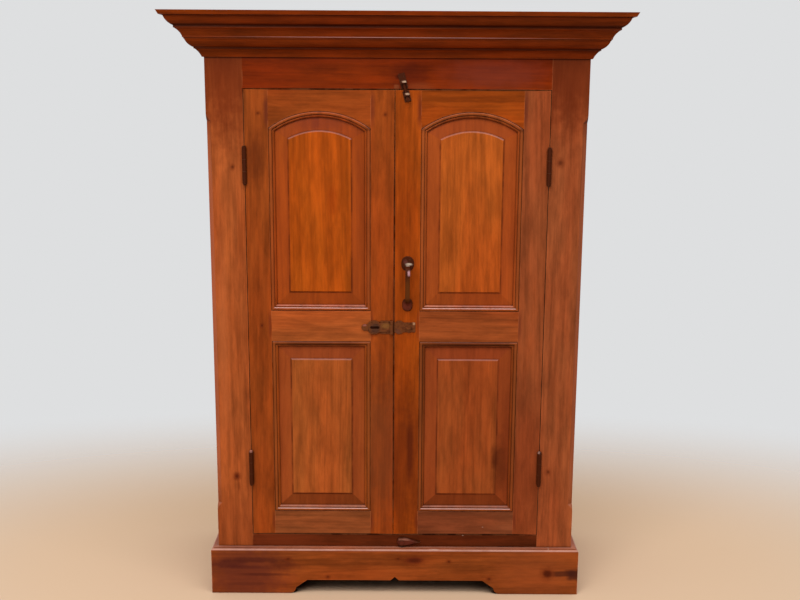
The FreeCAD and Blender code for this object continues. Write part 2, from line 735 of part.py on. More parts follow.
def door_stile(door, kind):
    """A door stile with its panel groove, three mortises and, on one side, hinge recesses."""
    hinge_side = kind == "hinge_stile"
    start, end = ("0", door.stile) if hinge_side else (f"{door.width} - {door.stile}", door.width)
    board = box(across(door, start, end), ("0", "door_thickness"), (DOOR_BOTTOM, DOOR_TOP))

    def inward(depth):
        if hinge_side:
            return across(door, f"{door.stile} - ({depth})", door.stile)
        return across(door, start, f"{start} + ({depth})")

    tools = [box(inward("groove_depth"), GROOVE, (DOOR_BOTTOM, DOOR_TOP))]
    for low, high in door_rails().values():
        tools.append(box(inward("tenon_length + tenon_clearance"), GROOVE, tenon_span(low, high)))
    if hinge_side:
        for level in hinge_levels():
            tools.append(box(across(door, "0", DOOR_LEAF_DEPTH), ("-overrun", LEAF_BACK), level))
    keep(f"{door.name}_{kind}", cut(board, *tools))


def door_rail(door, kind):
    """A door rail with its tenons and panel grooves; the top one is arched below."""
    low, high = door_rails()[kind]
    ends = (door.stile, f"{door.width} - {door.stile}")
    parts = [box(across(door, *ends), ("0", "door_thickness"), (low, high))]
    for near, far in ((f"{ends[0]} - tenon_length", ends[0]), (ends[1], f"{ends[1]} + tenon_length")):
        parts.append(box(across(door, near, far), GROOVE, tenon_span(low, high)))
    rail = fuse(*parts)
    tools = []
    if kind != "bottom_rail" and kind != "top_rail":
        tools.append(box(across(door, *ends), GROOVE, (low, f"{low} + groove_depth")))
    if kind != "top_rail":
        tools.append(box(across(door, *ends), GROOVE, (f"{high} - groove_depth", high)))
    else:
        centre = f"{CROWN} - {door.radius}"
        length = f"{THROUGH[1]} - ({THROUGH[0]})"
        tools.append(rod(door.radius, length, door.middle, THROUGH[0], centre, "y"))
        groove = f"{door.radius} + groove_depth"
        tools.append(rod(groove, "groove_width", door.middle, GROOVE[0], centre, "y"))
    keep(f"{door.name}_{kind}", cut(rail, *tools))


def panel_outline(door, inset, low, high, arched):
    """A panel's outline at a distance inside the opening's edge, about the door's middle."""
    half = f"({door.opening} / 2 - ({inset}))"
    bottom = f"({low} + ({inset}))"
    if not arched:
        return rectangle(f"-{half}", bottom, half, f"{high} - ({inset})")
    radius = f"({door.radius} - ({inset}))"
    shoulder = f"({CROWN} - {door.radius} + sqrt({radius}^2 - {half}^2))"
    return ((f"-{half}", bottom), (half, bottom), (half, shoulder, radius, 1), (f"-{half}", shoulder))


def door_panel(door, kind):
    """A raised and fielded panel: tongue, sloping margin, and flat field with its sloping edge."""
    arched = kind == "upper_panel"
    low, high = (UPPER_BOTTOM, CROWN) if arched else (LOWER_BOTTOM, LOWER_TOP)
    body = new_body(door.middle)
    edge = panel_outline(door, "-panel_tongue", low, high, arched)
    foot = panel_outline(door, "moulding_width", low, high, arched)
    shoulder = panel_outline(door, "moulding_width + panel_margin - field_slope", low, high, arched)
    field = panel_outline(door, "moulding_width + panel_margin", low, high, arched)
    crest = "groove_front - panel_rise"
    pad(body, "XZ", edge, "groove_front", "groove_front + groove_width")
    slope(body, foot, "groove_front", shoulder, crest)
    slope(body, shoulder, crest, field, f"{crest} - field_rise")
    keep(f"{door.name}_{kind}", body)


def slope(body, back, back_level, front, front_level):
    """Straight sides from one outline to a smaller one in front of it."""
    loft = body.newObject("PartDesign::AdditiveLoft", "Slope")
    loft.Profile = draw(new_sketch(body, "XZ", back_level), back)
    loft.Sections = [draw(new_sketch(body, "XZ", front_level), front)]
    loft.Ruled = True
    doc.recompute()


def bead_profile(base, side):
    """The panel moulding's section, from the frame's edge inwards."""
    thickness = "(groove_front + moulding_proud)"
    return [
        (f"{back} * {thickness} - moulding_proud", f"{base} + {side} * {inward} * moulding_width")
        for inward, back in MOULDING_SHARES
    ]


def straight_moulding(x, z, turn, length, low_cut, high_cut):
    """A length of panel moulding along its own X, mitred at both ends by the given cuts."""
    body = new_body(x, "0", z, turn)
    pad(body, "YZ", bead_profile("0", 1), f"-({length}) / 2", f"({length}) / 2")
    for side, reach in ((-1, low_cut), (1, high_cut)):
        end = f"{side} * ({length}) / 2"
        outside = f"{end} + {side} * overrun"
        pocket(body, "XZ", (
            (end, "0"), (f"{end} - {side} * 2 * ({reach})", "2 * moulding_width"),
            (outside, "2 * moulding_width"), (outside, "0"),
        ), "-(moulding_proud + overrun)", "groove_front + overrun")
    return body


def arch_moulding(door, mitre_top, mitre_bottom):
    """The arched length, turned about the arch's centre and cut to the side lengths' mitres."""
    body = new_body(door.middle, "0", f"{CROWN} - {door.radius}")
    sketch = draw(new_sketch(body, "YZ"), bead_profile(door.radius, -1))
    sweep = f"2 * asin({door.opening} / 2 / {door.radius})"
    spin(body, sketch, "H_Axis", f"{sweep} + 2 * asin(overrun / {door.radius})")
    half = f"({door.opening} / 2)"
    drop = f"({mitre_top} - {mitre_bottom})"
    for side in (-1, 1):
        outer = (f"{side} * ({half} + moulding_width)", f"{mitre_top} + {drop}")
        inner = (f"{side} * ({half} - 2 * moulding_width)", f"{mitre_bottom} - {drop}")
        pocket(
            body, "XZ", (outer, inner, (inner[0], "0"), (outer[0], "0")),
            "-(moulding_proud + overrun)", "groove_front + overrun",
        )
    return body


def door_mouldings(door):
    """Mitred mouldings round the lower and the arched upper panel."""
    half = f"({door.opening} / 2)"
    lower_height = f"({LOWER_TOP} - {LOWER_BOTTOM})"
    lower_middle = f"(({LOWER_TOP} + {LOWER_BOTTOM}) / 2)"
    full = "moulding_width"
    keep(f"{door.name}_lower_moulding", group([
        straight_moulding(door.middle, LOWER_BOTTOM, 0, door.opening, full, full),
        straight_moulding(door.middle, LOWER_TOP, 180, door.opening, full, full),
        straight_moulding(f"{door.middle} - {half}", lower_middle, 90, lower_height, full, full),
        straight_moulding(f"{door.middle} + {half}", lower_middle, -90, lower_height, full, full),
    ]))
    mitre_top = f"sqrt({door.radius}^2 - {half}^2)"
    mitre_bottom = f"sqrt(({door.radius} - moulding_width)^2 - ({half} - moulding_width)^2)"
    drop = f"({mitre_top} - {mitre_bottom})"
    height = f"({SPRING} - {UPPER_BOTTOM})"
    middle = f"(({SPRING} + {UPPER_BOTTOM}) / 2)"
    keep(f"{door.name}_upper_moulding", group([
        straight_moulding(door.middle, UPPER_BOTTOM, 0, door.opening, full, full),
        straight_moulding(f"{door.middle} - {half}", middle, 90, height, drop, full),
        straight_moulding(f"{door.middle} + {half}", middle, -90, height, full, drop),
        arch_moulding(door, mitre_top, mitre_bottom),
    ]))


# Butt hinges

def hinge_half(door, level, on_door):
    """One leaf with its share of the knuckles, bored for the pin, round where it turns."""
    low, high = level
    if on_door:
        plate_x = across(door, "leaf_gap / 2 - door_gap / 2", DOOR_LEAF_DEPTH)
    else:
        plate_x = across(door, f"-({FRAME_LEAF[1]})", "-(leaf_gap / 2 + door_gap / 2)")
    parts = [box(plate_x, ("metal_clearance", LEAF_BACK), (low, high))]
    count = int(value("knuckle_count"))
    tall = "((hinge_length - (knuckle_count - 1) * metal_clearance) / knuckle_count)"
    for i in range(count):
        if (i % 2 == 1) != on_door:
            continue
        foot = f"({low} + {i} * ({tall} + metal_clearance))"
        parts.append(forged_rod("knuckle_radius", tall, door.pivot, PIVOT_Y, foot))
        parts.append(box(plate_x, (PIVOT_Y, "metal_clearance"), (foot, f"{foot} + {tall}")))
    radius = "(pin_radius + running_clearance)"
    run = ("hinge_length + 2 * overrun", door.pivot, PIVOT_Y, f"{low} - overrun")
    bore = rod(radius, *run) if on_door else forged_rod(f"{radius} * {FLAT_TO_CORNER}", *run)
    return cut(fuse(*parts), bore)


def hinge_pin(door, level):
    """A pin with a hammered head at each end."""
    low, high = level
    parts = [forged_rod("pin_radius", "hinge_length", door.pivot, PIVOT_Y, low)]
    for foot in (f"{low} - pin_head_height", high):
        parts.append(forged_rod("pin_head_radius", "pin_head_height", door.pivot, PIVOT_Y, foot))
    return fuse(*parts)


def hinges():
    frame, pins = [], []
    for door in DOORS.values():
        for level in hinge_levels():
            frame.append(hinge_half(door, level, False))
            pins.append(hinge_pin(door, level))
        leaves = [hinge_half(door, level, True) for level in hinge_levels()]
        keep(f"{door.name}_hinge_leaves", group(leaves))
    keep("frame_hinge_leaves", group(frame))
    keep("hinge_pins", group(pins))


# Pull handle

def lock_edge(inset):
    """A place on the right door, measured from its lock edge."""
    return f"(meeting_offset + door_gap / 2 + {inset})"


def front_faces(solid, level):
    """Names of the flat faces of a solid that lie at a level in front of the face plane."""
    return [
        f"Face{i}" for i, face in enumerate(solid.Shape.Faces, start=1)
        if abs(face.CenterOfMass.y + value(level)) < value("metal_clearance") / 2
    ]


def bevel_front(body, level, size):
    """Bevel the edges of the front face."""
    solid = body.Tip
    bevel = body.newObject("PartDesign::Chamfer", "Bevel")
    bevel.Base = (solid, front_faces(solid, level))
    bind(bevel, "Size", size)
    doc.recompute()


def rosette(width, height, x, z):
    """A bevelled oval plate."""
    body = new_body(x, "0", z)
    end = f"({width} / 2)"
    run = f"({height} / 2 - {end})"
    oval = flats("0", run, end, "0 deg", "180 deg") + flats("0", f"-{run}", end, "180 deg", "360 deg")
    pad(body, "XZ", oval, "-rosette_thickness", "0")
    bevel_front(body, "rosette_thickness", "rosette_bevel")
    return body


def handle():
    x = lock_edge("handle_inset")
    middle = f"({DOOR_BOTTOM} + handle_level)"
    half = "(grip_spacing / 2)"
    body = new_body(x, "0", middle)
    start = "(-rosette_thickness)"
    out = "(-(handle_reach - grip_thickness / 2))"
    bend = f"({out} + handle_bend)"
    path = draw(new_sketch(body, "YZ"), (
        (start, half), (bend, half, "handle_bend", 1), (out, f"{half} - handle_bend"),
        (out, f"-({half} - handle_bend)", "handle_bend", 1), (bend, f"-{half}"), (start, f"-{half}"),
    ), closed=False)
    wide = "(grip_width / 2)"
    thick = "(grip_thickness / 2)"
    bar = []
    for u, v in ((1, -1), (1, 1), (-1, 1), (-1, -1)):
        side = (f"{u} * {wide}", f"{half} + {v} * ({thick} - grip_facet / 2)")
        face = (f"{u} * ({wide} - grip_facet)", f"{half} + {v} * {thick}")
        bar += [side, face] if u == v else [face, side]
    pipe(body, draw(new_sketch(body, "XZ", start), bar), path)
    keep("handle_grip", body)
    spacing = "handle_spacing / 2"
    keep("handle_rosettes", group([
        rosette("upper_rosette_width", "upper_rosette_height", x, f"{middle} + {spacing}"),
        rosette("lower_rosette_width", "lower_rosette_height", x, f"{middle} - {spacing}"),
    ]))


# Hasp and staple

HASP_X = "(meeting_offset - door_gap / 2 - hasp_edge - hasp_knuckle)"
STRAP_BACK = "(-(plate_thickness + metal_clearance))"
STRAP_FRONT = f"({STRAP_BACK} - strap_thickness)"


def strap_outline():
    """The strap from its knuckle to its tip, to the left of the pin, about its middle line."""
    root = "(hasp_middle / 2 - metal_clearance)"
    clear = "(-(hasp_knuckle + 2 * metal_clearance))"
    boss = "(-(slot_reach + strap_thickness))"
    shoulder = f"({boss} + sqrt(boss_radius^2 - strap_neck^2))"
    waist = f"(-(strap_reach - (1 + {WAIST_SHARE}) * tip_radius))"
    waist_half = f"(tip_radius * sqrt(1 - {WAIST_SHARE}^2))"
    boss_end = f"({boss} - sqrt(boss_radius^2 - tip_radius^2))"
    return (
        ("0", root), (clear, root), (clear, "strap_neck"), (shoulder, "strap_neck", "boss_radius", 1),
        (boss_end, "tip_radius"), (waist, waist_half, "tip_radius", 1),
        ("-strap_reach", "0", "tip_radius", 1), (waist, f"-{waist_half}"),
        (boss_end, "-tip_radius", "boss_radius", 1), (shoulder, "-strap_neck"),
        (clear, "-strap_neck"), (clear, f"-{root}"), ("0", f"-{root}"),
    )


def slot_outline():
    half = "(slot_height / 2)"
    far = "(-(slot_reach + slot_length / 2 - slot_height / 2))"
    near = "(-(slot_reach - slot_length / 2 + slot_height / 2))"
    return flats(near, "0", half, "-90 deg", "90 deg") + flats(far, "0", half, "90 deg", "270 deg")


def hasp_strap():
    body = new_body(HASP_X, "0", HASP_Z)
    pad(body, "XZ", strap_outline(), STRAP_FRONT, STRAP_BACK)
    middle = "(-(slot_reach + strap_thickness))"
    boss = flats(middle, "0", f"{BOSS_SHARE} * boss_radius", "0 deg", "360 deg")[:-1]
    pad(body, "XZ", boss, f"{STRAP_FRONT} - boss_rise", STRAP_FRONT)
    pocket(body, "XZ", slot_outline(), f"{STRAP_FRONT} - overrun", "overrun")
    root = "(hasp_middle / 2 - metal_clearance)"
    barrel = forged_rod("hasp_knuckle", f"2 * {root}", HASP_X, HASP_Y, f"{HASP_Z} - {root}")
    bore = rod(
        "hasp_pin_radius + running_clearance", "hasp_barrel", HASP_X, HASP_Y, f"{HASP_Z} - hasp_barrel / 2",
    )
    keep("hasp_strap", cut(fuse(body, barrel), bore))


def hasp_leaf():
    """The fixed leaf under the strap, with the upper and lower knuckles."""
    leaf = (f"{HASP_X} - hasp_leaf_length", f"{HASP_X} - hasp_knuckle - 2 * metal_clearance")
    height = (f"{HASP_Z} - hasp_barrel / 2", f"{HASP_Z} + hasp_barrel / 2")
    parts = [box(leaf, ("-plate_thickness", "0"), height)]
    tall = "(hasp_barrel / 2 - hasp_middle / 2)"
    for foot in (height[0], f"{HASP_Z} + hasp_middle / 2"):
        parts.append(forged_rod("hasp_knuckle", tall, HASP_X, HASP_Y, foot))
        parts.append(box((leaf[1], HASP_X), ("-plate_thickness", "0"), (foot, f"{foot} + {tall}")))
    bore = forged_rod(
        f"(hasp_pin_radius + running_clearance) * {FLAT_TO_CORNER}", "hasp_barrel + 2 * overrun",
        HASP_X, HASP_Y, f"{HASP_Z} - hasp_barrel / 2 - overrun",
    )
    keep("hasp_leaf", cut(fuse(*parts), bore))
    foot = f"{HASP_Z} - hasp_barrel / 2"
    keep("hasp_pin", forged_rod("hasp_pin_radius", "hasp_barrel", HASP_X, HASP_Y, foot))


def staple():
    """The plate on the right door and the staple that the strap closes over."""
    edge = "(meeting_offset + door_gap / 2 + metal_clearance)"
    plate = new_body(edge, "0", HASP_Z)
    step = f"{SIDE_STEP_SHARE} * staple_plate_length"
    turn = f"staple_plate_wide - {step}"
    hollow = -PLATE_BULGE_SHARE
    pad(plate, "XZ", (
        ("0", "-staple_plate_narrow", hollow), (step, "-staple_plate_half"),
        (turn, "-staple_plate_half", hollow), ("staple_plate_wide", "-staple_plate_narrow"),
        ("staple_plate_length", "-staple_plate_narrow"), ("staple_plate_length", "staple_plate_narrow"),
        ("staple_plate_wide", "staple_plate_narrow", hollow), (turn, "staple_plate_half"),
        (step, "staple_plate_half", hollow), ("0", "staple_plate_narrow"),
    ), "-plate_thickness", "0")
    keep("staple_plate", plate)
    x = f"({HASP_X} + slot_reach)"
    body = new_body(x, "0", HASP_Z)
    half = "(staple_width / 2)"
    start = "(-plate_thickness)"
    bend = f"(-(staple_reach - staple_wire - {half}))"
    path = draw(new_sketch(body, "XY"), (
        (f"-{half}", start), (f"-{half}", bend, half, 1), ("0", f"{bend} - {half}", half, 1),
        (half, bend), (half, start),
    ), closed=False)
    section = rectangle(f"-{half} - staple_wire", "-staple_wire", f"-{half} + staple_wire", "staple_wire")
    pipe(body, draw(new_sketch(body, "XZ", start), section), path)
    keep("hasp_staple", body)


# Top bolt and keeper, built upright and then leaned about the bolt's line at the door's edge

def lean(obj):
    """Turn a finished piece of the bolt set about the point where the bolt leaves the door."""
    angle = "(bolt_lean * 1 deg)"
    obj.Placement = FreeCAD.Placement(FreeCAD.Vector(), FreeCAD.Rotation(FreeCAD.Vector(0, 1, 0), -1))
    bind(obj, "Placement.Rotation.Angle", f"-{angle}")
    bind(obj, "Placement.Base.x", f"{BOLT_X} - {BOLT_X} * cos({angle}) + {DOOR_TOP} * sin({angle})")
    bind(obj, "Placement.Base.z", f"{DOOR_TOP} - {DOOR_TOP} * cos({angle}) - {BOLT_X} * sin({angle})")
    return obj


def bridge(low, high, clearance):
    """Two walls and a front bar that hold the bolt against its plate."""
    near = f"(bolt_radius + {clearance})"
    far = f"({near} + guide_wall)"
    front = f"({BOLT_Y} - {near})"
    parts = [box((f"{BOLT_X} - {far}", f"{BOLT_X} + {far}"), (f"{front} - guide_wall", front), (low, high))]
    for side in (-1, 1):
        wall = both_ways(side, near, far)
        span = (f"{BOLT_X} + {wall[0]}", f"{BOLT_X} + {wall[1]}")
        parts.append(box(span, (f"{front} - guide_wall", "-plate_thickness"), (low, high)))
    return parts


def bolt_plate(low, high):
    width = (f"{BOLT_X} - bolt_plate_half", f"{BOLT_X} + bolt_plate_half")
    return box(width, ("-plate_thickness", "0"), (low, high))


def bolt():
    top = f"({DOOR_TOP} - bolt_setback)"
    guide_top = f"({top} - guide_drop)"
    guide_foot = f"({guide_top} - guide_height)"
    guide = bridge(guide_foot, guide_top, "guide_clearance")
    keep("bolt_plate", lean(fuse(bolt_plate(f"{top} - bolt_plate_height", top), *guide)))
    knob_z = f"({guide_foot} - bolt_travel - guide_clearance - knob_neck)"
    foot = f"({knob_z} - bolt_tail)"
    knob_y = f"({BOLT_Y} - bolt_radius - guide_wall - 2 * guide_clearance)"
    parts = [
        forged_rod("bolt_radius", f"{DOOR_TOP} + bolt_reach - {foot}", BOLT_X, BOLT_Y, foot),
        forged_rod("knob_neck", f"{BOLT_Y} - {knob_y}", BOLT_X, knob_y, knob_z, "y"),
        forged_rod("knob_radius", "knob_depth", BOLT_X, f"{knob_y} - knob_depth", knob_z, "y"),
    ]
    keep("top_bolt", lean(fuse(*parts)))
    keeper_foot = f"({DOOR_TOP} + keeper_setback)"
    eye = f"({keeper_foot} + keeper_rise)"
    band = bridge(eye, f"{eye} + keeper_height", "keeper_clearance")
    keep("bolt_keeper", lean(fuse(bolt_plate(keeper_foot, f"{keeper_foot} + keeper_plate_height"), *band)))


# Turn button

def turn_button():
    """A drop-shaped iron button and the screw that it turns on."""
    body = new_body("button_inset", "0", BUTTON_Z)
    touch = "acos(button_radius / button_reach)"
    drop = [("button_reach", "0")] + flats("0", "0", "button_radius", touch, f"360 deg - {touch}")
    pad(body, "XZ", drop, "-(button_thickness + metal_clearance)", "-metal_clearance")
    bevel_front(body, "button_thickness + metal_clearance", "button_edge")
    hole = rod(
        "screw_radius + running_clearance", "button_thickness + 2 * overrun",
        "button_inset", "-(button_thickness + overrun)", BUTTON_Z, "y",
    )
    keep("turn_button", cut(body, hole))
    seat = "(-(button_thickness + 2 * metal_clearance))"
    keep("button_screw", fuse(
        rod("screw_radius", f"screw_depth - {seat}", "button_inset", seat, BUTTON_Z, "y"),
        forged_rod("screw_head", "screw_rise", "button_inset", f"{seat} - screw_rise", BUTTON_Z, "y"),
    ))


def build():
    fill_sheet()
    for side in (-1, 1):
        corner_stile(side)
    carcass_rail("frieze_rail", OPENING_TOP, BODY_TOP)
    screw_hole = rod("screw_radius + running_clearance", "screw_depth", "button_inset", "0", BUTTON_Z, "y")
    carcass_rail("bottom_rail", "plinth_height", OPENING_BOTTOM, screw_hole)
    carcass_boards()
    cornice()
    plinth()
    for door in DOORS.values():
        for kind in ("hinge_stile", "lock_stile"):
            door_stile(door, kind)
        for kind in ("bottom_rail", "lock_rail", "top_rail"):
            door_rail(door, kind)
        for kind in ("lower_panel", "upper_panel"):
            door_panel(door, kind)
        door_mouldings(door)
    hinges()
    handle()
    hasp_leaf()
    hasp_strap()
    staple()
    bolt()
    turn_button()
    doc.recompute()


def check():
    """Stop if any object failed or any sub-part is not a sound solid."""
    for obj in doc.Objects:
        if {"Invalid", "Error"} & set(obj.State):
            raise RuntimeError(f"{obj.Name} ({obj.Label}) failed: {obj.State}")
    for node, obj in pieces:
        if obj.Shape.isNull() or not obj.Shape.isValid() or not obj.Shape.Solids:
            raise RuntimeError(f"{node} is not a sound solid")


def write():
    os.makedirs("parts", exist_ok=True)
    for node, obj in pieces:
        obj.Shape.exportStep(f"parts/{node}.step")
    print(f"{len(pieces)} sub-parts written")


build()
check()
write()
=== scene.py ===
"""Trastero cabinet: the stained pine, the forged iron, the nails and the studio."""
import math
import random

import bpy
from bpy.props import FloatProperty, FloatVectorProperty, PointerProperty
from mathutils import Euler, Matrix, Vector


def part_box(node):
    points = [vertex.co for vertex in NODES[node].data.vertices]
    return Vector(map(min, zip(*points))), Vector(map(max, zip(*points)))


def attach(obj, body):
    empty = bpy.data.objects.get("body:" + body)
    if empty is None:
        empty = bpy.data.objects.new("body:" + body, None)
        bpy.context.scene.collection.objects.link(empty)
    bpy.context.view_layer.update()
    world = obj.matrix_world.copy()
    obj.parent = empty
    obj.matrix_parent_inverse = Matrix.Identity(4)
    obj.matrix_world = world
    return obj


bl_info = {
    "name": "Trastero cabinet finish",
    "version": (1, 0, 0),
    "blender": (4, 5, 0),
    "location": "View3D > Sidebar > Trastero",
    "description": "Gives the packed cabinet its stained pine, forged iron, nails and studio",
    "category": "Object",
}

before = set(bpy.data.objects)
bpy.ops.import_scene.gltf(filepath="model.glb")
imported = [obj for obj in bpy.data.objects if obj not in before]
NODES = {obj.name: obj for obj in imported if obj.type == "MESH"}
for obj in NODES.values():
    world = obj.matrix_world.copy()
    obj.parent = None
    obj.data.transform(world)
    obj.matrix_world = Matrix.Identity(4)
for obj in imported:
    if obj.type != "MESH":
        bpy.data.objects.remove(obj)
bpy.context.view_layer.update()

# The front of doors and rails and the plates on it, in metres, and the leaning top bolt.
FACE = -0.160
IRON_PLATE = 0.002
PLATE_FACE = FACE - IRON_PLATE
BOLT_FOOT = (0.022, 1.485)
BOLT_LEAN = 15.0


# Colours

def stain(red, green, blue):
    """A colour as a screen shows it, 0 to 255, as the linear colour a shader takes."""
    shown = [channel / 255 for channel in (red, green, blue)]
    linear = [c / 12.92 if c <= 0.04045 else ((c + 0.055) / 1.055) ** 2.4 for c in shown]
    return (*linear, 1.0)


# Settings a user would change

SHARE = {"min": 0.0, "max": 1.0, "subtype": "FACTOR"}
LENGTH = {"subtype": "DISTANCE", "unit": "LENGTH"}
COLOUR = {"size": 3, "min": 0.0, "max": 1.0, "subtype": "COLOR"}
POWER = {"min": 0.0, "max": 1000.0, "subtype": "POWER", "unit": "POWER"}


class PineSettings(bpy.types.PropertyGroup):
    ring_gap: FloatProperty(
        name="Ring gap", description="Distance between two growth rings at the face of a board",
        default=0.011, min=0.002, max=0.05, **LENGTH)
    waviness: FloatProperty(
        name="Waviness", description="How far a growth ring wanders from its line",
        default=0.012, min=0.0, max=0.05, **LENGTH)
    rings: FloatProperty(
        name="Rings", description="Strength of the growth rings under the stain", default=0.22, **SHARE)
    streaks: FloatProperty(
        name="Streaks", description="Strength of the long pale and dark streaks in the stain",
        default=1.4, min=0.0, max=2.0, subtype="FACTOR")
    blotches: FloatProperty(
        name="Blotches", description="Strength of the clouds where the wood took more stain",
        default=0.38, **SHARE)
    # The pale wear along the boards' edges also stands for a painted highlight there.
    wear: FloatProperty(
        name="Wear", description="Strength of the pale wear along the edges of the boards",
        default=0.35, **SHARE)
    # This pale colour on what faces upwards is dust and a painted highlight.
    dust: FloatProperty(
        name="Dust", description="Strength of the pale dust on ledges and upper edges", default=0.6, **SHARE)
    varnish: FloatProperty(
        name="Varnish", description="Weight of the clear coat over the stain", default=0.04, **SHARE)
    varnish_roughness: FloatProperty(
        name="Varnish roughness", description="How soft the sheen of the clear coat is",
        default=0.16, **SHARE)
    # The dark line in a corner is painted shade as well as wax and dust.
    crevice_reach: FloatProperty(
        name="Crevice reach", description="Width of the dark line of wax and dust in a corner",
        default=0.007, min=0.001, max=0.05, **LENGTH)


class IronSettings(bpy.types.PropertyGroup):
    forged: FloatVectorProperty(
        name="Forged iron", description="Colour of the waxed dark iron",
        default=stain(68, 27, 8)[:3], **COLOUR)
    bronzed: FloatVectorProperty(
        name="Brown iron", description="Colour of the worn brown iron of the hasp",
        default=stain(112, 60, 30)[:3], **COLOUR)
    worn: FloatVectorProperty(
        name="Rubbed edge", description="Colour of iron where hands have rubbed it",
        default=stain(150, 104, 74)[:3], **COLOUR)
    # This colour is a painted highlight on the top faces of the bolt's guide and keeper.
    bright: FloatVectorProperty(
        name="Bright iron", description="Colour of the guide and keeper where the bolt polished them",
        default=stain(192, 156, 128)[:3], **COLOUR)
    hammer_size: FloatProperty(
        name="Hammer marks", description="Width of one hammer mark",
        default=0.006, min=0.001, max=0.03, **LENGTH)


class NailSettings(bpy.types.PropertyGroup):
    head_radius: FloatProperty(
        name="Head radius", description="Radius of a clout nail's head",
        default=0.0024, min=0.0005, max=0.01, **LENGTH)
    head_height: FloatProperty(
        name="Head height", description="Height of a nail's head over its plate",
        default=0.0012, min=0.0002, max=0.005, **LENGTH)


class StudioSettings(bpy.types.PropertyGroup):
    floor: FloatVectorProperty(
        name="Floor", description="Colour of the plain floor", default=stain(216, 184, 153)[:3], **COLOUR)
    backdrop: FloatVectorProperty(
        name="Backdrop", description="Colour the camera sees behind the cabinet",
        default=stain(222, 223, 224)[:3], **COLOUR)
    sky: FloatProperty(
        name="Sky", description="Strength of the even light from all round", default=0.55, min=0.0, max=2.0)
    key_power: FloatProperty(
        name="Front light", description="Power of the large soft light in front", default=70.0, **POWER)
    top_power: FloatProperty(
        name="Top light", description="Power of the large soft light overhead", default=45.0, **POWER)


# Objects and nodes

VECTOR, TINT, VALUE = "NodeSocketVector", "NodeSocketColor", "NodeSocketFloat"
MIX_SHARE, MIX_FIRST, MIX_SECOND, MIX_RESULT = 0, 6, 7, 2
CORNER_SAMPLES = 8


def add_object(name, data):
    """A new object in the scene."""
    made = bpy.data.objects.new(name, data)
    bpy.context.scene.collection.objects.link(made)
    return made


def join(source, target):
    """Sets a socket to a plain value, or links another socket to it."""
    if isinstance(source, bpy.types.NodeSocket):
        target.id_data.links.new(source, target)
    else:
        target.default_value = source


def fill(node, values):
    """Gives a node's inputs, by name or number, their values or the sockets they follow."""
    for key, value in values.items():
        join(value, node.inputs[key])


def add_node(tree, kind, values=None, **settings):
    """A new node with its settings made and its inputs filled."""
    node = tree.nodes.new(kind)
    for name, value in settings.items():
        setattr(node, name, value)
    fill(node, values or {})
    return node


def follow(kind, values, **settings):
    """A new node in the tree of the sockets that it follows."""
    sockets = [value for value in values.values() if isinstance(value, bpy.types.NodeSocket)]
    return add_node(sockets[0].id_data, kind, values, **settings)


def sums(operation, *values, clamp=False):
    """A Math node over one to three values or sockets."""
    return follow("ShaderNodeMath", dict(enumerate(values)), operation=operation, use_clamp=clamp).outputs[0]


def plus(first, second, clamp=False):
    return sums("ADD", first, second, clamp=clamp)


def minus(first, second, clamp=False):
    return sums("SUBTRACT", first, second, clamp=clamp)


def times(first, second):
    return sums("MULTIPLY", first, second)


def vectors(operation, *values, scale=None):
    """A Vector Math node; the length gives its number, the rest their vector."""
    given = dict(enumerate(values))
    if scale is not None:
        given["Scale"] = scale
    node = follow("ShaderNodeVectorMath", given, operation=operation)
    return node.outputs["Value" if operation == "LENGTH" else "Vector"]


def noise(vector, scale, detail=2.0, roughness=0.5, colour=False):
    """A Noise texture's value, or its three channels as a vector."""
    given = {"Vector": vector, "Scale": scale, "Detail": detail, "Roughness": roughness}
    return follow("ShaderNodeTexNoise", given).outputs["Color" if colour else "Fac"]


def ramp(value, low, high, start=0.0, end=1.0):
    """The value from low to high, eased, as start to end."""
    given = {"Value": value, "From Min": low, "From Max": high, "To Min": start, "To Max": end}
    return follow("ShaderNodeMapRange", given, interpolation_type="SMOOTHSTEP").outputs["Result"]


def blend_colour(share, first, second, way="MIX"):
    """One colour over another by a share."""
    node = follow("ShaderNodeMix", {MIX_SHARE: share, MIX_FIRST: first, MIX_SECOND: second},
                  data_type="RGBA", blend_type=way, clamp_factor=True)
    return node.outputs[MIX_RESULT]


def coordinates(tree, kind):
    """The Texture Coordinate vector of a kind."""
    return add_node(tree, "ShaderNodeTexCoord").outputs[kind]


def axes(vector):
    """A vector's numbers along X, Y and Z."""
    return follow("ShaderNodeSeparateXYZ", {"Vector": vector}).outputs


def openness(reach, inside=False):
    """How open the space round a point is, or within the piece how far its edges are."""
    return follow("ShaderNodeAmbientOcclusion", {"Distance": reach}, inside=inside,
                  samples=CORNER_SAMPLES).outputs["AO"]


def raised(height, strength, distance):
    """The normal of a face that a height raises a little."""
    given = {"Strength": strength, "Distance": distance, "Height": height}
    return follow("ShaderNodeBump", given).outputs["Normal"]


def new_material(name):
    """A material, its node tree and its Principled BSDF."""
    material = bpy.data.materials.new(name)
    material.use_nodes = True
    return material, material.node_tree, material.node_tree.nodes["Principled BSDF"]


# Shader groups

def new_group(name, inputs, outputs):
    """An empty shader group, as (tree, what comes in, what goes out); a number is a default."""
    tree = bpy.data.node_groups.new(name, "ShaderNodeTree")
    for label, kind in inputs.items():
        number = isinstance(kind, float)
        socket = tree.interface.new_socket(name=label, in_out="INPUT", socket_type=VALUE if number else kind)
        if number:
            socket.default_value = kind
    for label, kind in outputs.items():
        tree.interface.new_socket(name=label, in_out="OUTPUT", socket_type=kind)
    coming = tree.nodes.new("NodeGroupInput")
    going = tree.nodes.new("NodeGroupOutput")
    return tree, coming.outputs, going.inputs


# How close streaks and fibres lie across the grain, twice, and along it; their detail and roughness.
BROAD_STREAKS = ((34.0, 34.0, 1.1), 3.0, 0.55)
THIN_STREAKS = ((150.0, 150.0, 3.0), 2.0, 0.6)
FIBRES = ((720.0, 720.0, 14.0), 2.0, 0.6)


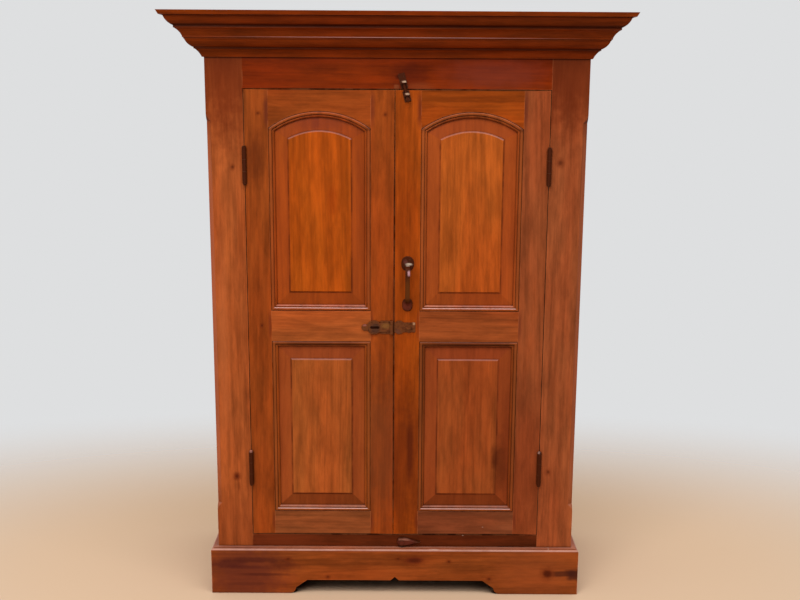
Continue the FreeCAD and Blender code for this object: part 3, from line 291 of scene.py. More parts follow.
def pine_grain_group():
    """Growth rings, streaks and fibres that run along the third axis of the vector."""
    tree, given, result = new_group(
        "Pine grain",
        {"Vector": VECTOR, "Early wood": TINT, "Late wood": TINT, "Ring scale": 28.0, "Ring strength": 0.6,
         "Waviness": 0.012, "Streaks": 0.7},
        {"Color": TINT, "Height": VALUE, "Sheen": VALUE})
    slow = vectors("MULTIPLY", given["Vector"], (1.0, 1.0, 0.22))
    wander = vectors("SUBTRACT", noise(slow, 7.0, colour=True), (0.5, 0.5, 0.5))
    fine = vectors("SUBTRACT", noise(slow, 26.0, colour=True), (0.5, 0.5, 0.5))
    both = vectors("ADD", wander, vectors("SCALE", fine, scale=0.22))
    far = times(given["Waviness"], 4.0)
    bent = vectors("ADD", given["Vector"], vectors("SCALE", both, scale=far))
    rings = follow("ShaderNodeTexWave", {"Vector": bent, "Scale": given["Ring scale"]},
                   wave_type="RINGS", rings_direction="Z", wave_profile="SAW").outputs["Fac"]
    late = sums("POWER", rings, 2.2)
    ring = minus(late, ramp(rings, 0.93, 1.0), clamp=True)
    broad, thin, fibre = (
        noise(vectors("MULTIPLY", given["Vector"], spread), 1.0, detail, roughness)
        for spread, detail, roughness in (BROAD_STREAKS, THIN_STREAKS, FIBRES))
    streak = plus(minus(broad, 0.5), times(minus(thin, 0.5), 0.8))
    share = times(ring, given["Ring strength"])
    share = plus(share, times(streak, given["Streaks"]))
    share = plus(share, times(minus(fibre, 0.5), 0.35))
    share = plus(share, 0.12, clamp=True)
    join(blend_colour(share, given["Early wood"], given["Late wood"]), result["Color"])
    join(plus(times(fibre, 0.6), times(ring, 0.5)), result["Height"])
    join(times(share, thin), result["Sheen"])
    return tree


WARM_GLOW = (1.0, 0.62, 0.32, 1.0)
REDDER, YELLOWER = (1.05, 0.97, 0.92, 1.0), (0.96, 1.04, 1.06, 1.0)


def stain_blotch_group():
    """Soft clouds where the pine took more stain, and small changes of hue and level."""
    tree, given, result = new_group(
        "Stain blotches",
        {"Color": TINT, "Vector": VECTOR, "Deep stain": TINT, "Amount": 0.4, "Scale": 5.0, "Wander": 1.0},
        {"Color": TINT})
    cloud = noise(given["Vector"], given["Scale"], 5.0, 0.72)
    share = times(ramp(cloud, 0.46, 0.72), given["Amount"])
    deep = blend_colour(share, given["Color"], given["Deep stain"])
    paler = times(ramp(cloud, 0.46, 0.28), given["Amount"])
    shade = blend_colour(times(paler, 0.35), deep, WARM_GLOW, "SOFT_LIGHT")
    slow = noise(vectors("ADD", given["Vector"], (3.1, 1.7, 0.4)), 7.0, 3.0, 0.6)
    hue = blend_colour(ramp(slow, 0.36, 0.64), REDDER, YELLOWER)
    level = ramp(noise(given["Vector"], 42.0, 4.0, 0.65), 0.3, 0.7, 0.8, 1.2)
    varied = vectors("SCALE", hue, scale=level)
    wandered = blend_colour(1.0, shade, varied, "MULTIPLY")
    join(blend_colour(given["Wander"], shade, wandered), result["Color"])
    return tree


def patch_group():
    """A soft ragged oval or squared spot at a place on the cabinet, for knots and shades."""
    tree, given, result = new_group(
        "Patch",
        {"Vector": VECTOR, "Centre": VECTOR, "Half size": VECTOR, "Softness": 0.3, "Squared": 2.0,
         "Ragged": 0.2, "Ragged scale": 60.0},
        {"Mask": VALUE})
    away = vectors("SUBTRACT", given["Vector"], given["Centre"])
    parts = axes(vectors("ABSOLUTE", vectors("DIVIDE", away, given["Half size"])))
    across, deep, up = (sums("POWER", parts[axis], given["Squared"]) for axis in ("X", "Y", "Z"))
    total = plus(plus(across, deep), up)
    reach = sums("POWER", total, sums("DIVIDE", 1.0, given["Squared"]))
    ragged = minus(noise(given["Vector"], given["Ragged scale"], 3.0, 0.6), 0.5)
    reach = plus(reach, times(ragged, given["Ragged"]))
    inner = minus(1.0, given["Softness"])
    join(ramp(reach, inner, 1.0, 1.0, 0.0), result["Mask"])
    return tree


def ledge_dust_and_sheen_group():
    """Painted highlight on what faces upwards, with dust and dulled varnish, palest on the rounded edge of a
    ledge.
    """
    tree, given, result = new_group(
        "Ledge dust and sheen", {"Color": TINT, "Dust": TINT, "Vector": VECTOR, "Amount": 0.6}, {"Color": TINT})
    turned = axes(coordinates(tree, "Normal"))["Z"]
    rising = ramp(turned, 0.22, 0.5)
    level = ramp(turned, 0.8, 0.97, 1.0, 0.32)
    uneven = ramp(noise(given["Vector"], 24.0, 3.0, 0.6), 0.3, 0.6, 0.7, 1.0)
    share = times(times(times(rising, level), uneven), given["Amount"])
    join(blend_colour(share, given["Color"], given["Dust"]), result["Color"])
    return tree


def crevice_shade_and_wax_group():
    """Painted shade in the corners, with the dark wax and dust that gathered there."""
    tree, given, result = new_group(
        "Crevice shade and wax", {"Color": TINT, "Wax": TINT, "Reach": 0.007, "Amount": 0.7}, {"Color": TINT})
    shut = ramp(openness(given["Reach"]), 0.85, 0.35)
    share = times(shut, given["Amount"])
    join(blend_colour(share, given["Color"], given["Wax"]), result["Color"])
    return tree


def edge_mask_group():
    """How near a point is to an edge that sticks out, broken up in patches; on boards it lays wear and
    painted highlight, on irons wear.
    """
    tree, given, result = new_group(
        "Edge mask", {"Vector": VECTOR, "Reach": 0.002, "Breaks": 90.0, "Amount": 0.5}, {"Mask": VALUE})
    edge = ramp(openness(given["Reach"], inside=True), 0.94, 0.62)
    broken = ramp(noise(given["Vector"], given["Breaks"], 3.0, 0.6), 0.38, 0.58)
    join(times(times(edge, broken), given["Amount"]), result["Mask"])
    return tree


def forged_group():
    """Hammered iron: its colour, its roughness and its height."""
    tree, given, result = new_group(
        "Forged iron",
        {"Vector": VECTOR, "Iron": TINT, "Rust": TINT, "Rubbed": TINT, "Rubbed share": 0.0,
         "Hammer scale": 160.0},
        {"Color": TINT, "Roughness": VALUE, "Height": VALUE})
    marks = follow("ShaderNodeTexVoronoi", {"Vector": given["Vector"], "Scale": given["Hammer scale"]},
                   feature="SMOOTH_F1")
    cloud = noise(given["Vector"], 130.0, 4.0, 0.65)
    pits = noise(given["Vector"], 900.0, 2.0, 0.6)
    rusty = ramp(cloud, 0.45, 0.68)
    shade = blend_colour(times(rusty, 0.7), given["Iron"], given["Rust"])
    join(blend_colour(given["Rubbed share"], shade, given["Rubbed"]), result["Color"])
    rough = plus(0.42, times(rusty, 0.3))
    join(minus(rough, times(given["Rubbed share"], 0.12)), result["Roughness"])
    join(plus(marks.outputs["Distance"], times(pits, 0.35)), result["Height"])
    return tree


SHADER_GROUPS = {
    "Pine grain": pine_grain_group, "Stain blotches": stain_blotch_group, "Patch": patch_group,
    "Ledge dust and sheen": ledge_dust_and_sheen_group, "Crevice shade and wax": crevice_shade_and_wax_group, "Edge mask": edge_mask_group,
    "Forged iron": forged_group,
}


def put(name, **values):
    """Places a shader group, made on its first use, with its own values; their names have _ for a space."""
    group = bpy.data.node_groups.get(name) or SHADER_GROUPS[name]()
    given = {label.replace("_", " "): value for label, value in values.items()}
    return follow("ShaderNodeGroup", given, node_tree=group).outputs


# Boards and their stain

QUARTER = math.radians(90)
ALONG = {"Z": Euler((0, 0, 0)), "X": Euler((0, QUARTER, 0)), "Y": Euler((QUARTER, 0, 0))}

# The shown colour of each board, and the way its grain runs.
CARCASS = {
    "left_stile": ((159, 76, 34), "Z"), "right_stile": ((148, 73, 38), "Z"),
    # The bottom rail's dark colour is partly painted shade from the doors' lower edges.
    "frieze_rail": ((114, 37, 4), "X"), "bottom_rail": ((82, 32, 11), "X"), "top_board": ((133, 51, 9), "X"),
    "left_side_planks": ((144, 66, 26), "Z"), "right_side_planks": ((143, 66, 30), "Z"),
}
PLINTH = {
    "plinth_front": ((133, 62, 23), "X"), "plinth_left": ((127, 60, 28), "Y"),
    "plinth_right": ((133, 64, 28), "Y"),
}
CORNICE = {
    f"{layer}_moulding_{side}": (colour, way)
    for layer, colour in (("bed", (120, 45, 8)), ("crown", (125, 48, 11)))
    for side, way in (("front", "X"), ("left", "Y"), ("right", "Y"))
}
# The same for the parts of the left and the right door.
DOOR_PARTS = {
    "hinge_stile": ((136, 60, 19), (138, 66, 33), "Z"),
    "lock_stile": ((141, 61, 18), (149, 63, 12), "Z"),
    "top_rail": ((136, 59, 18), (139, 59, 12), "X"),
    "lock_rail": ((160, 77, 33), (145, 67, 29), "X"),
    "bottom_rail": ((127, 67, 34), (118, 60, 34), "X"),
    "upper_panel": ((158, 71, 14), (165, 76, 24), "Z"),
    "lower_panel": ((153, 76, 31), (142, 66, 27), "Z"),
    "upper_moulding": ((142, 62, 20), (142, 64, 24), "Z"),
    "lower_moulding": ((134, 62, 20), (120, 54, 19), "Z"),
}
DOORS = {}
for part, (left_colour, right_colour, way) in DOOR_PARTS.items():
    DOORS[f"left_door_{part}"] = (left_colour, way)
    DOORS[f"right_door_{part}"] = (right_colour, way)

# Bare pine inside and behind, and the way its grain runs.
BARE_BOARDS = {
    "back_boards": "Z", "floor_board": "X", "door_stop": "X", "lower_shelf": "X", "middle_shelf": "X",
    "upper_shelf": "X", "cleats": "Y", "plinth_back": "X", "plinth_blocks": "Z",
}
BARE_PINE = (206, 160, 106)

# The front of a panel's raised field, the depth of the slope round it and the step of the painted shade line
# on its edge, in metres, and the painted shade where the slope's head faces up and its foot faces down.
FIELD_FRONT = FACE + 0.0025
FIELD_SLOPE = 0.0027
FIELD_SHADE_LINE = 0.0003
MARGIN_HEAD_SHADE = (0.9, 0.86, 1.0, 1.0)
MARGIN_FOOT_SHADES = {"upper": (0.92, 0.92, 0.92, 1.0), "lower": (0.68, 0.68, 0.68, 1.0)}

# Shown colours of knots, stains, dust and wear, and of painted shade and painted highlights.
KNOT_HEART = (62, 22, 8)
KNOT_HALO = (100, 36, 12)
MARGIN = (146, 62, 27)
# A painted shade line round a raised field, where its edge steps down.
MARGIN_SHADE_LINE = (70, 24, 10)
# Painted light on the front of a moulding's round.
BEAD_LIGHT = (152, 82, 42)
SEAM = (30, 12, 6)
SMOKE = (72, 24, 8)
PURPLE = (88, 32, 24)
# A painted shade line in the quirk over an arch.
ARCH_QUIRK_SHADE = (84, 36, 14)
ARCH_SPRING = (58, 26, 12)
CHIP = (214, 190, 172)
# Dust and painted highlight on ledges and other upward faces.
LEDGE_DUST_AND_SHEEN = (204, 154, 138)
# Dust and painted highlight on panels and on the lowest lengths of door mouldings.
MOULDING_DUST_AND_SHEEN = (214, 166, 156)
# Wear on the boards' edges that stick out, which also stands for a painted highlight there.
WORN_AND_SHEEN_ARRIS = (196, 112, 66)
# Painted shade in the gaps round the doors and in the slot of the hasp's strap.
GAP_SHADE = (26, 9, 4)
# A painted highlight on the chamfers of the corner stiles.
CHAMFER_HIGHLIGHT = (190, 104, 70)
# Painted shade with wax in the corners of stained boards.
BOARD_SHADE_AND_WAX = (38, 11, 5)
# Painted shade with dust in the corners of bare boards.
BARE_SHADE_AND_DUST = (96, 66, 40)
IRON_WAX = (24, 13, 8)
RUST = (70, 30, 14)

# The knots of each board: the middle across and up, half width and half height, in metres.
KNOTS = {
    "left_door_hinge_stile": ((-0.384, 1.42, 0.005, 0.004), (-0.385, 0.82, 0.004, 0.005)),
    "left_door_lock_stile": ((-0.033, 1.418, 0.005, 0.005),),
    "left_stile": ((-0.458, 1.272, 0.005, 0.006), (-0.468, 0.363, 0.006, 0.009)),
    "right_stile": ((0.455, 1.288, 0.008, 0.009), (0.452, 0.381, 0.006, 0.007)),
    "plinth_front": (
        (-0.319, 0.11, 0.009, 0.005), (0.058, 0.107, 0.027, 0.01), (0.01, 0.112, 0.007, 0.004),
        (0.162, 0.104, 0.006, 0.005), (-0.2, 0.053, 0.006, 0.005), (0.283, 0.049, 0.006, 0.005),
        (0.457, 0.066, 0.014, 0.014),
    ),
    "left_side_planks": ((0.06, 1.12, 0.008, 0.011), (0.19, 0.52, 0.006, 0.008)),
    "right_side_planks": ((0.05, 0.7, 0.007, 0.01), (0.205, 1.3, 0.006, 0.008)),
}

# The stains, painted shade and painted highlights of all boards whose names start alike, laid on in this
# order: the middle across and up, half width and half height in metres, share, softness and shown colour.
SHADES = [
    ("left_stile", (
        # Painted shadow of the cornice on the top of the stile.
        (-0.476, 1.56, 0.3, 0.33, 0.72, 0.8, (94, 26, 3)),
        # Painted light on the stile's outer edge.
        (-0.5, 0.76, 0.03, 0.42, 0.45, 0.9, (196, 104, 56)),
        (-0.476, 0.2, 0.3, 0.16, 0.35, 0.8, (110, 44, 20)),
        # Painted highlight on the chamfer.
        (-0.5225, 0.839, 0.0085, 0.59, 0.6, 0.3, CHAMFER_HIGHLIGHT),
        (-0.468, 0.363, 0.016, 0.018, 0.65, 0.8, (98, 30, 14)),
        (-0.463, 0.334, 0.007, 0.022, 0.5, 0.8, (104, 40, 14)),
    )),
    ("right_stile", (
        # Painted shadow of the cornice on the top of the stile.
        (0.476, 1.56, 0.3, 0.3, 0.75, 0.8, (90, 28, 5)),
        # Painted highlight on the chamfer.
        (0.5225, 0.839, 0.0085, 0.59, 0.35, 0.3, CHAMFER_HIGHLIGHT),
    )),
    ("crown_moulding", (
        # A painted highlight on the crown's lowest fillet, and a painted shade line on its upper fillet.
        (0.0, 1.6219, 0.56, 0.0016, 0.75, 0.8, (186, 138, 128)),
        (0.0, 1.6495, 1.3, 0.0064, 0.8, 0.6, (52, 16, 5)),
    )),
    # A painted shade line on the bed moulding's middle fillet.
    ("bed_moulding", ((0.0, 1.5938, 1.3, 0.0042, 0.7, 0.6, (52, 16, 5)),)),
    ("plinth_front", (
        (-0.45, 0.06, 0.19, 0.14, 0.85, 0.8, (104, 46, 30)),
        (-0.33, 0.09, 0.07, 0.022, 0.55, 0.8, (78, 30, 18)),
        (-0.5, 0.094, 0.075, 0.018, 0.55, 0.75, (72, 28, 24)),
        (-0.42, 0.106, 0.12, 0.012, 0.55, 0.7, (66, 24, 20)),
        (-0.45, 0.083, 0.1, 0.008, 0.5, 0.7, (74, 28, 24)),
        (-0.39, 0.06, 0.11, 0.007, 0.55, 0.7, (70, 26, 20)),
        (-0.44, 0.03, 0.09, 0.008, 0.35, 0.7, (84, 36, 24)),
        (0.43, 0.06, 0.19, 0.14, 0.35, 0.8, (150, 74, 38)),
        (0.457, 0.067, 0.018, 0.015, 0.8, 0.65, (66, 20, 10)),
        (0.508, 0.066, 0.05, 0.012, 0.75, 0.6, (66, 28, 18)),
        (0.545, 0.063, 0.04, 0.022, 0.8, 0.6, (62, 27, 20)),
        (0.058, 0.107, 0.034, 0.013, 0.7, 0.65, (92, 30, 20)),
        # A painted shade line on the lower round of the plinth's nose.
        (0.0, 0.1375, 0.64, 0.0022, 0.5, 0.6, (96, 36, 36)),
        (0.117, 0.14, 0.02, 0.002, 0.45, 0.7, CHIP),
        (0.459, 0.142, 0.003, 0.0014, 0.5, 0.7, CHIP),
    )),
    ("bottom_rail", (
        (-0.34, 0.162, 0.17, 0.05, 0.5, 0.8, (124, 52, 24)),
        # Painted shade in the gap under the doors.
        (0.0, 0.1806, 0.43, 0.0018, 0.7, 0.5, GAP_SHADE),
        (0.203, 0.179, 0.003, 0.0014, 0.4, 0.7, CHIP),
    )),
    ("frieze_rail", (
        (0.04, 1.52, 0.08, 0.06, 0.5, 0.8, (70, 18, 8)),
        (0.06, 1.494, 0.06, 0.016, 0.35, 0.8, (150, 70, 34)),
        # Painted shade in the gap over the doors.
        (0.0, 1.4872, 0.43, 0.0014, 0.8, 0.5, GAP_SHADE),
        (0.009, 1.52, 0.02, 0.009, 0.75, 0.8, (52, 14, 4)),
        (-0.0015, 1.494, 0.009, 0.0062, 0.85, 0.4, (128, 62, 32)),
        (0.27, 1.53, 0.19, 0.06, 0.45, 0.8, (124, 54, 40)),
    )),
    # Painted shade on the top lengths of the lower mouldings, under the lock rails.
    ("left_door_lower_moulding", ((-0.215, 0.768, 0.16, 0.011, 0.65, 0.5, (88, 38, 16)),)),
    ("right_door_lower_moulding", ((0.21, 0.768, 0.16, 0.011, 0.65, 0.5, (82, 34, 14)),)),
    ("right_door_lower_panel", (
        (0.308, 0.4, 0.032, 0.11, 0.6, 0.8, (80, 34, 12)),
        (0.294, 0.424, 0.016, 0.05, 0.55, 0.8, SMOKE),
        (0.33, 0.45, 0.03, 0.3, 0.45, 0.8, (92, 34, 14)),
    )),
    ("right_door_lock_stile", (
        (0.043, 0.45, 0.014, 0.14, 0.75, 0.75, SMOKE),
        (0.031, 0.42, 0.1, 0.33, 0.6, 0.8, (92, 34, 12)),
        # Painted shade in the gap between the doors.
        (-0.0045, 0.834, 0.0014, 0.7, 0.7, 0.5, (70, 14, 3)),
    )),
    ("left_door_lock_stile", (
        (-0.04, 0.45, 0.1, 0.33, 0.45, 0.8, (104, 56, 32)),
        (-0.04, 0.7, 0.022, 0.16, 0.35, 0.8, SMOKE),
        # Painted shade in the gap between the doors.
        (-0.0075, 0.834, 0.0018, 0.7, 0.7, 0.5, (70, 14, 3)),
    )),
    ("right_door_hinge_stile", ((0.387, 0.43, 0.1, 0.33, 0.35, 0.8, (104, 42, 18)),)),
    ("left_door_hinge_stile", ((-0.392, 1.3, 0.03, 0.11, 0.5, 0.8, SMOKE),)),
    ("left_door_upper_panel", (
        (-0.18, 1.18, 0.022, 0.06, 0.35, 0.8, (140, 44, 6)),
        (-0.225, 1.4, 0.016, 0.04, 0.4, 0.8, (96, 34, 30)),
        (-0.218, 1.395, 0.118, 0.03, 0.4, 0.8, (112, 44, 26)),
    )),
]
# Over each door's arch a painted shade line in its quirk, where it springs, and painted shade in the gaps
# along the door's upper and lower edge.
for door, middle, arch, springs in (("left_door", -0.215, -0.218, (-0.363, -0.073)),
                                    ("right_door", 0.21, 0.208, (0.063, 0.353))):
    SHADES += [
        (f"{door}_upper_moulding", ((arch, 1.4262, 0.12, 0.0032, 0.5, 0.7, ARCH_QUIRK_SHADE),
                                    *((x, 1.384, 0.02, 0.018, 0.8, 0.8, ARCH_SPRING) for x in springs))),
        (f"{door}_", ((middle, 1.485, 0.216, 0.0016, 0.8, 0.5, GAP_SHADE),
                      (middle, 0.1836, 0.216, 0.0018, 0.8, 0.5, GAP_SHADE))),
    ]
# Painted shade in the slot of the hasp's strap.
SHADES.append(("left_door_lock", ((-0.061, 0.817, 0.016, 0.008, 0.9, 0.5, GAP_SHADE),)))
# The purple stain on the stiles beside the corners of the panel mouldings.
for stile, top, across in (("left_door_hinge_stile", (-0.361, 1.428), -0.361),
                           ("left_door_lock_stile", (-0.069, 1.43), -0.069),
                           ("right_door_lock_stile", (0.064, 1.431), 0.063),
                           ("right_door_hinge_stile", (0.354, 1.433), 0.355)):
    SHADES.append((stile, ((*top, 0.012, 0.07, 0.55, 0.85, PURPLE),
                           (across, 0.822, 0.007, 0.06, 0.5, 0.85, PURPLE),
                           (across, 0.222, 0.007, 0.045, 0.4, 0.85, PURPLE))))
SHADES.append(("right_door_bottom_rail", ((0.262, 0.206, 0.003, 0.0014, 0.4, 0.7, CHIP),)))

# A small shade has a cleaner outline than a large one, and a hard one is squarer than a soft one.
SMALL_SHADE = 0.012
HARD_SHADE = 0.65
# How much wider and taller the halo of a knot is than its heart.
HALO_REACH = 2.4

# Dark lines where flush boards meet: axis, places and half width, in metres.
SEAMS = {
    "left_side_planks": ("Y", (-0.0007, 0.1322), 0.0008),
    "right_side_planks": ("Y", (-0.0007, 0.1322), 0.0008),
    "back_boards": ("X", (-0.3387, -0.1693, 0.0, 0.1693, 0.3387), 0.0009),
}

# How much of the dust and painted highlight on upward faces lies on a board, by the first or else the last
# word of its name.
DUST_AND_SHEEN_SHARES = {"crown": 0.08, "bed": 0.08, "bottom": 0.1, "plinth": 1.2, "panel": 0.3, "stile": 0.2}

# Ring scale times the gap of two rings, for a Wave texture that turns once in a ring.
WAVE_TURN = 0.314
# How pale or dark early wood, late wood and deep stain are beside the board's own colour.
EARLY_SHARE, LATE_SHARE, DEEP_SHARE = 1.28, 0.56, 0.42
STAINED_SPECULAR, BARE_SPECULAR, IRON_SPECULAR = 0.02, 0.25, 0.06

# In metres: the width of worn edges, which on boards also carry a painted highlight, and of the painted
# shade and wax in corners, and the strength and depth of the relief.
BOARD_ARRIS_REACH, IRON_RUB = 0.0016, 0.0009
BARE_CREVICE, IRON_CREVICE = 0.012, 0.004
BOARD_RELIEF, BARE_RELIEF, IRON_RELIEF = (0.25, 0.0005), (0.35, 0.0006), (0.35, 0.0003)

# On a door's moulding: the depths between which its round takes a painted light, and how much; the shares of
# its depth between which its dust and painted highlight thin out, how much lies before and behind them, and
# where its foot, on which they lie most, ends and how much lies above it.
BEAD_BACK, BEAD_FRONT, BEAD_LIGHT_SHARE = 0.0030, 0.0012, 0.3
DUST_AND_SHEEN_FRONT_SHARE, DUST_AND_SHEEN_BACK_SHARE = 0.2, 0.4
DUST_AND_SHEEN_BEFORE, DUST_AND_SHEEN_BEHIND = 1.5, 0.45
DUST_AND_SHEEN_FOOT, DUST_AND_SHEEN_FOOT_END, DUST_AND_SHEEN_ABOVE_FOOT = 0.03, 0.04, 0.12


def mixed(colour, share, brightness=1.0):
    """A shown colour moved by a share towards its own grey, as a linear colour."""
    grey = sum(colour) / 3
    return stain(*(max(0.0, min(255.0, brightness * (c + share * (grey - c)))) for c in colour))


def scaled(colour, share):
    """A linear colour made darker or paler by a share."""
    return (*(min(1.0, share * channel) for channel in colour[:3]), 1.0)


def finish_slots(node, material):
    """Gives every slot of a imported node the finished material."""
    slots = NODES[node].material_slots
    if not slots:
        raise RuntimeError(f"{node} has no material slot")
    for slot in slots:
        slot.material = material


def middle_of(node):
    """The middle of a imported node's box."""
    low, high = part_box(node)
    return (Vector(low) + Vector(high)) / 2


def stretched(place, way, share):
    """The place drawn out along the grain."""
    return vectors("MULTIPLY", place, [share if axis == way else 1 for axis in ("X", "Y", "Z")])


def lay_grain(place, node, way):
    """The vector that a board's rings and streaks follow, with the pith behind or before it."""
    chance = random.Random(f"board {node}")
    turn = ALONG[way].to_matrix().to_euler()
    turn.x += math.radians(chance.uniform(-1.6, 1.6))
    turn.y += math.radians(chance.uniform(-1.6, 1.6))
    pith = Vector((chance.uniform(-0.03, 0.03), chance.choice((-1, 1)) * chance.uniform(0.06, 0.10),
                   chance.uniform(-3.0, 3.0)))
    start = pith - turn.to_matrix() @ middle_of(node)
    given = {"Vector": place, "Rotation": turn, "Location": start}
    return follow("ShaderNodeMapping", given).outputs["Vector"]


def lay_patch(place, centre, half, share, shade, colour, **looks):
    """Lays a colour on a spot of a board or an iron."""
    patch = put("Patch", Vector=place, Centre=centre, Half_size=half, **looks)
    return blend_colour(times(patch["Mask"], share), shade, colour)


def spot_on(node, across, up, wide, tall):
    """Middle and half size of a spot: across the front, or from front to back on side planks."""
    middle = middle_of(node)
    if "side_planks" in node:
        return (middle.x, across, up), (1.0, wide, tall)
    return (across, middle.y, up), (wide, 1.0, tall)


def add_shades(node, place, shade):
    """The stains, painted shade and painted highlights, the dark joints, the chips and the knots of one
    board.
    """
    rows = [row for start, group in SHADES if node.startswith(start) for row in group]
    for across, up, wide, tall, share, softness, colour in rows:
        shade = lay_patch(
            place, *spot_on(node, across, up, wide, tall), share, shade, stain(*colour), Softness=softness,
            Squared=6.0 if softness < HARD_SHADE else 2.5,
            Ragged=0.25 if min(wide, tall) < SMALL_SHADE else 0.6, Ragged_scale=38.0)
    for across, up, wide, tall in KNOTS.get(node, ()):
        halo = spot_on(node, across, up, wide * HALO_REACH, tall * HALO_REACH)
        shade = lay_patch(place, *halo, 0.55, shade, stain(*KNOT_HALO),
                          Softness=0.9, Ragged=0.6, Ragged_scale=90.0)
        heart = spot_on(node, across, up, wide, tall)
        shade = lay_patch(place, *heart, 0.5, shade, stain(*KNOT_HEART),
                          Softness=0.8, Ragged=0.7, Ragged_scale=160.0)
    return shade


def add_seams(node, place, shade):
    """Dark lines where flush boards of one node meet."""
    if node in SEAMS:
        axis, places, half = SEAMS[node]
        along = axes(place)[axis]
        for spot in places:
            away = sums("ABSOLUTE", minus(along, spot))
            line = ramp(away, half, half * 2, 0.85, 0.0)
            shade = blend_colour(line, shade, stain(*SEAM))
    return shade


def add_margin(place, shade, foot_shade):
    """The redder stain on a panel's sloping margin, painted shade where its slope faces down and where it
    faces up, and a painted shade line round its field.
    """
    deep = axes(place)["Y"]
    slope = axes(coordinates(place.id_data, "Normal"))["Z"]
    slope_back = FIELD_FRONT + FIELD_SLOPE
    behind = ramp(deep, FIELD_FRONT, slope_back)
    shade = blend_colour(times(behind, 0.55), shade, stain(*MARGIN))
    foot = times(ramp(slope, -0.02, -0.06), behind)
    shade = blend_colour(foot, shade, foot_shade, "MULTIPLY")
    head = times(ramp(slope, 0.02, 0.06), behind)
    shade = blend_colour(head, shade, MARGIN_HEAD_SHADE, "MULTIPLY")
    edge = times(ramp(deep, FIELD_FRONT + FIELD_SHADE_LINE, FIELD_FRONT + 4 * FIELD_SHADE_LINE),
                 ramp(deep, slope_back + FIELD_SHADE_LINE, slope_back, 0.0, 1.0))
    patchy = ramp(noise(place, 16.0, 3.0, 0.6), 0.35, 0.6, 0.15, 0.6)
    return blend_colour(times(edge, patchy), shade, stain(*MARGIN_SHADE_LINE))


def add_bead_light(place, front, shade):
    """Painted light on the front of a moulding's round."""
    lit_round = ramp(axes(place)["Y"], front + BEAD_BACK, front + BEAD_FRONT, 0.0, BEAD_LIGHT_SHARE)
    return blend_colour(lit_round, shade, stain(*BEAD_LIGHT))


def dust_and_sheen_on(node, place, amount):
    """How much dust and painted highlight lie on a board, and their shown colour; on a door moulding they
    lie on its front edge.
    """
    words = node.split("_")
    if words[-1] != "moulding":
        share = DUST_AND_SHEEN_SHARES.get(words[0], DUST_AND_SHEEN_SHARES.get(words[-1], 1.0))
        return amount * share, MOULDING_DUST_AND_SHEEN if words[-1] == "panel" else LEDGE_DUST_AND_SHEEN
    (_, front, foot), (_, back, _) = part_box(node)
    parts = axes(place)
    reach = back - front
    depth = ramp(parts["Y"], front + DUST_AND_SHEEN_FRONT_SHARE * reach, front + DUST_AND_SHEEN_BACK_SHARE * reach,
                 DUST_AND_SHEEN_BEFORE * amount, DUST_AND_SHEEN_BEHIND * amount)
    height = ramp(parts["Z"], foot + DUST_AND_SHEEN_FOOT, foot + DUST_AND_SHEEN_FOOT_END, 1.0, DUST_AND_SHEEN_ABOVE_FOOT)
    return times(depth, height), MOULDING_DUST_AND_SHEEN


def stained_board(node, colour, way):
    """One board's own stained pine, with its streaks, blotches, knots and varnish, and its painted shade and
    painted highlights.
    """
    pine = bpy.context.scene.trastero_pine
    material, tree, varnished = new_material(f"{node}_pine")
    place = coordinates(tree, "Object")
    own = stain(*colour)
    door_moulding = node.endswith("_moulding")
    grain = put(
        "Pine grain", Vector=lay_grain(place, node, way), Early_wood=scaled(own, EARLY_SHARE),
        Late_wood=scaled(own, LATE_SHARE), Ring_scale=WAVE_TURN / pine.ring_gap, Ring_strength=pine.rings,
        Waviness=pine.waviness, Streaks=pine.streaks)
    shade = put(
        "Stain blotches", Color=grain["Color"], Vector=stretched(place, way, 0.2),
        Deep_stain=scaled(own, DEEP_SHARE), Amount=pine.blotches, Scale=15.0)["Color"]
    if door_moulding:
        shade = add_bead_light(place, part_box(node)[0][1], shade)
    if node.endswith("_panel"):
        shade = add_margin(place, shade, MARGIN_FOOT_SHADES[node.split("_")[2]])
    shade = add_seams(node, place, add_shades(node, place, shade))
    # Painted shade and wax in the corners.
    shaded_and_waxed = put("Crevice shade and wax", Color=shade, Wax=stain(*BOARD_SHADE_AND_WAX), Reach=pine.crevice_reach,
                Amount=0.55 if door_moulding else 0.9)
    # Pale edges: wear, and a painted highlight.
    wear = pine.wear * (0.2 if node in CORNICE else 0.4 if door_moulding else 1.0)
    worn_and_lit_arris = put("Edge mask", Vector=place, Reach=BOARD_ARRIS_REACH, Breaks=30.0, Amount=wear)["Mask"]
    worn = blend_colour(worn_and_lit_arris, shaded_and_waxed["Color"], stain(*WORN_AND_SHEEN_ARRIS))
    # Dust and painted highlight on what faces upwards.
    dust, dust_and_sheen_colour = dust_and_sheen_on(node, place, pine.dust)
    dust_and_painted_light = put("Ledge dust and sheen", Color=worn, Dust=stain(*dust_and_sheen_colour), Vector=place, Amount=dust)
    fill(varnished, {
        "Base Color": dust_and_painted_light["Color"],
        "Roughness": plus(0.34, times(grain["Sheen"], 0.3)),
        "Normal": raised(grain["Height"], *BOARD_RELIEF),
        "Specular IOR Level": STAINED_SPECULAR,
        "Coat Weight": pine.varnish,
        "Coat Roughness": pine.varnish_roughness,
    })
    finish_slots(node, material)


def stain_boards(boards):
    """Stains and varnishes a group of boards."""
    for node, (colour, way) in boards.items():
        stained_board(node, colour, way)


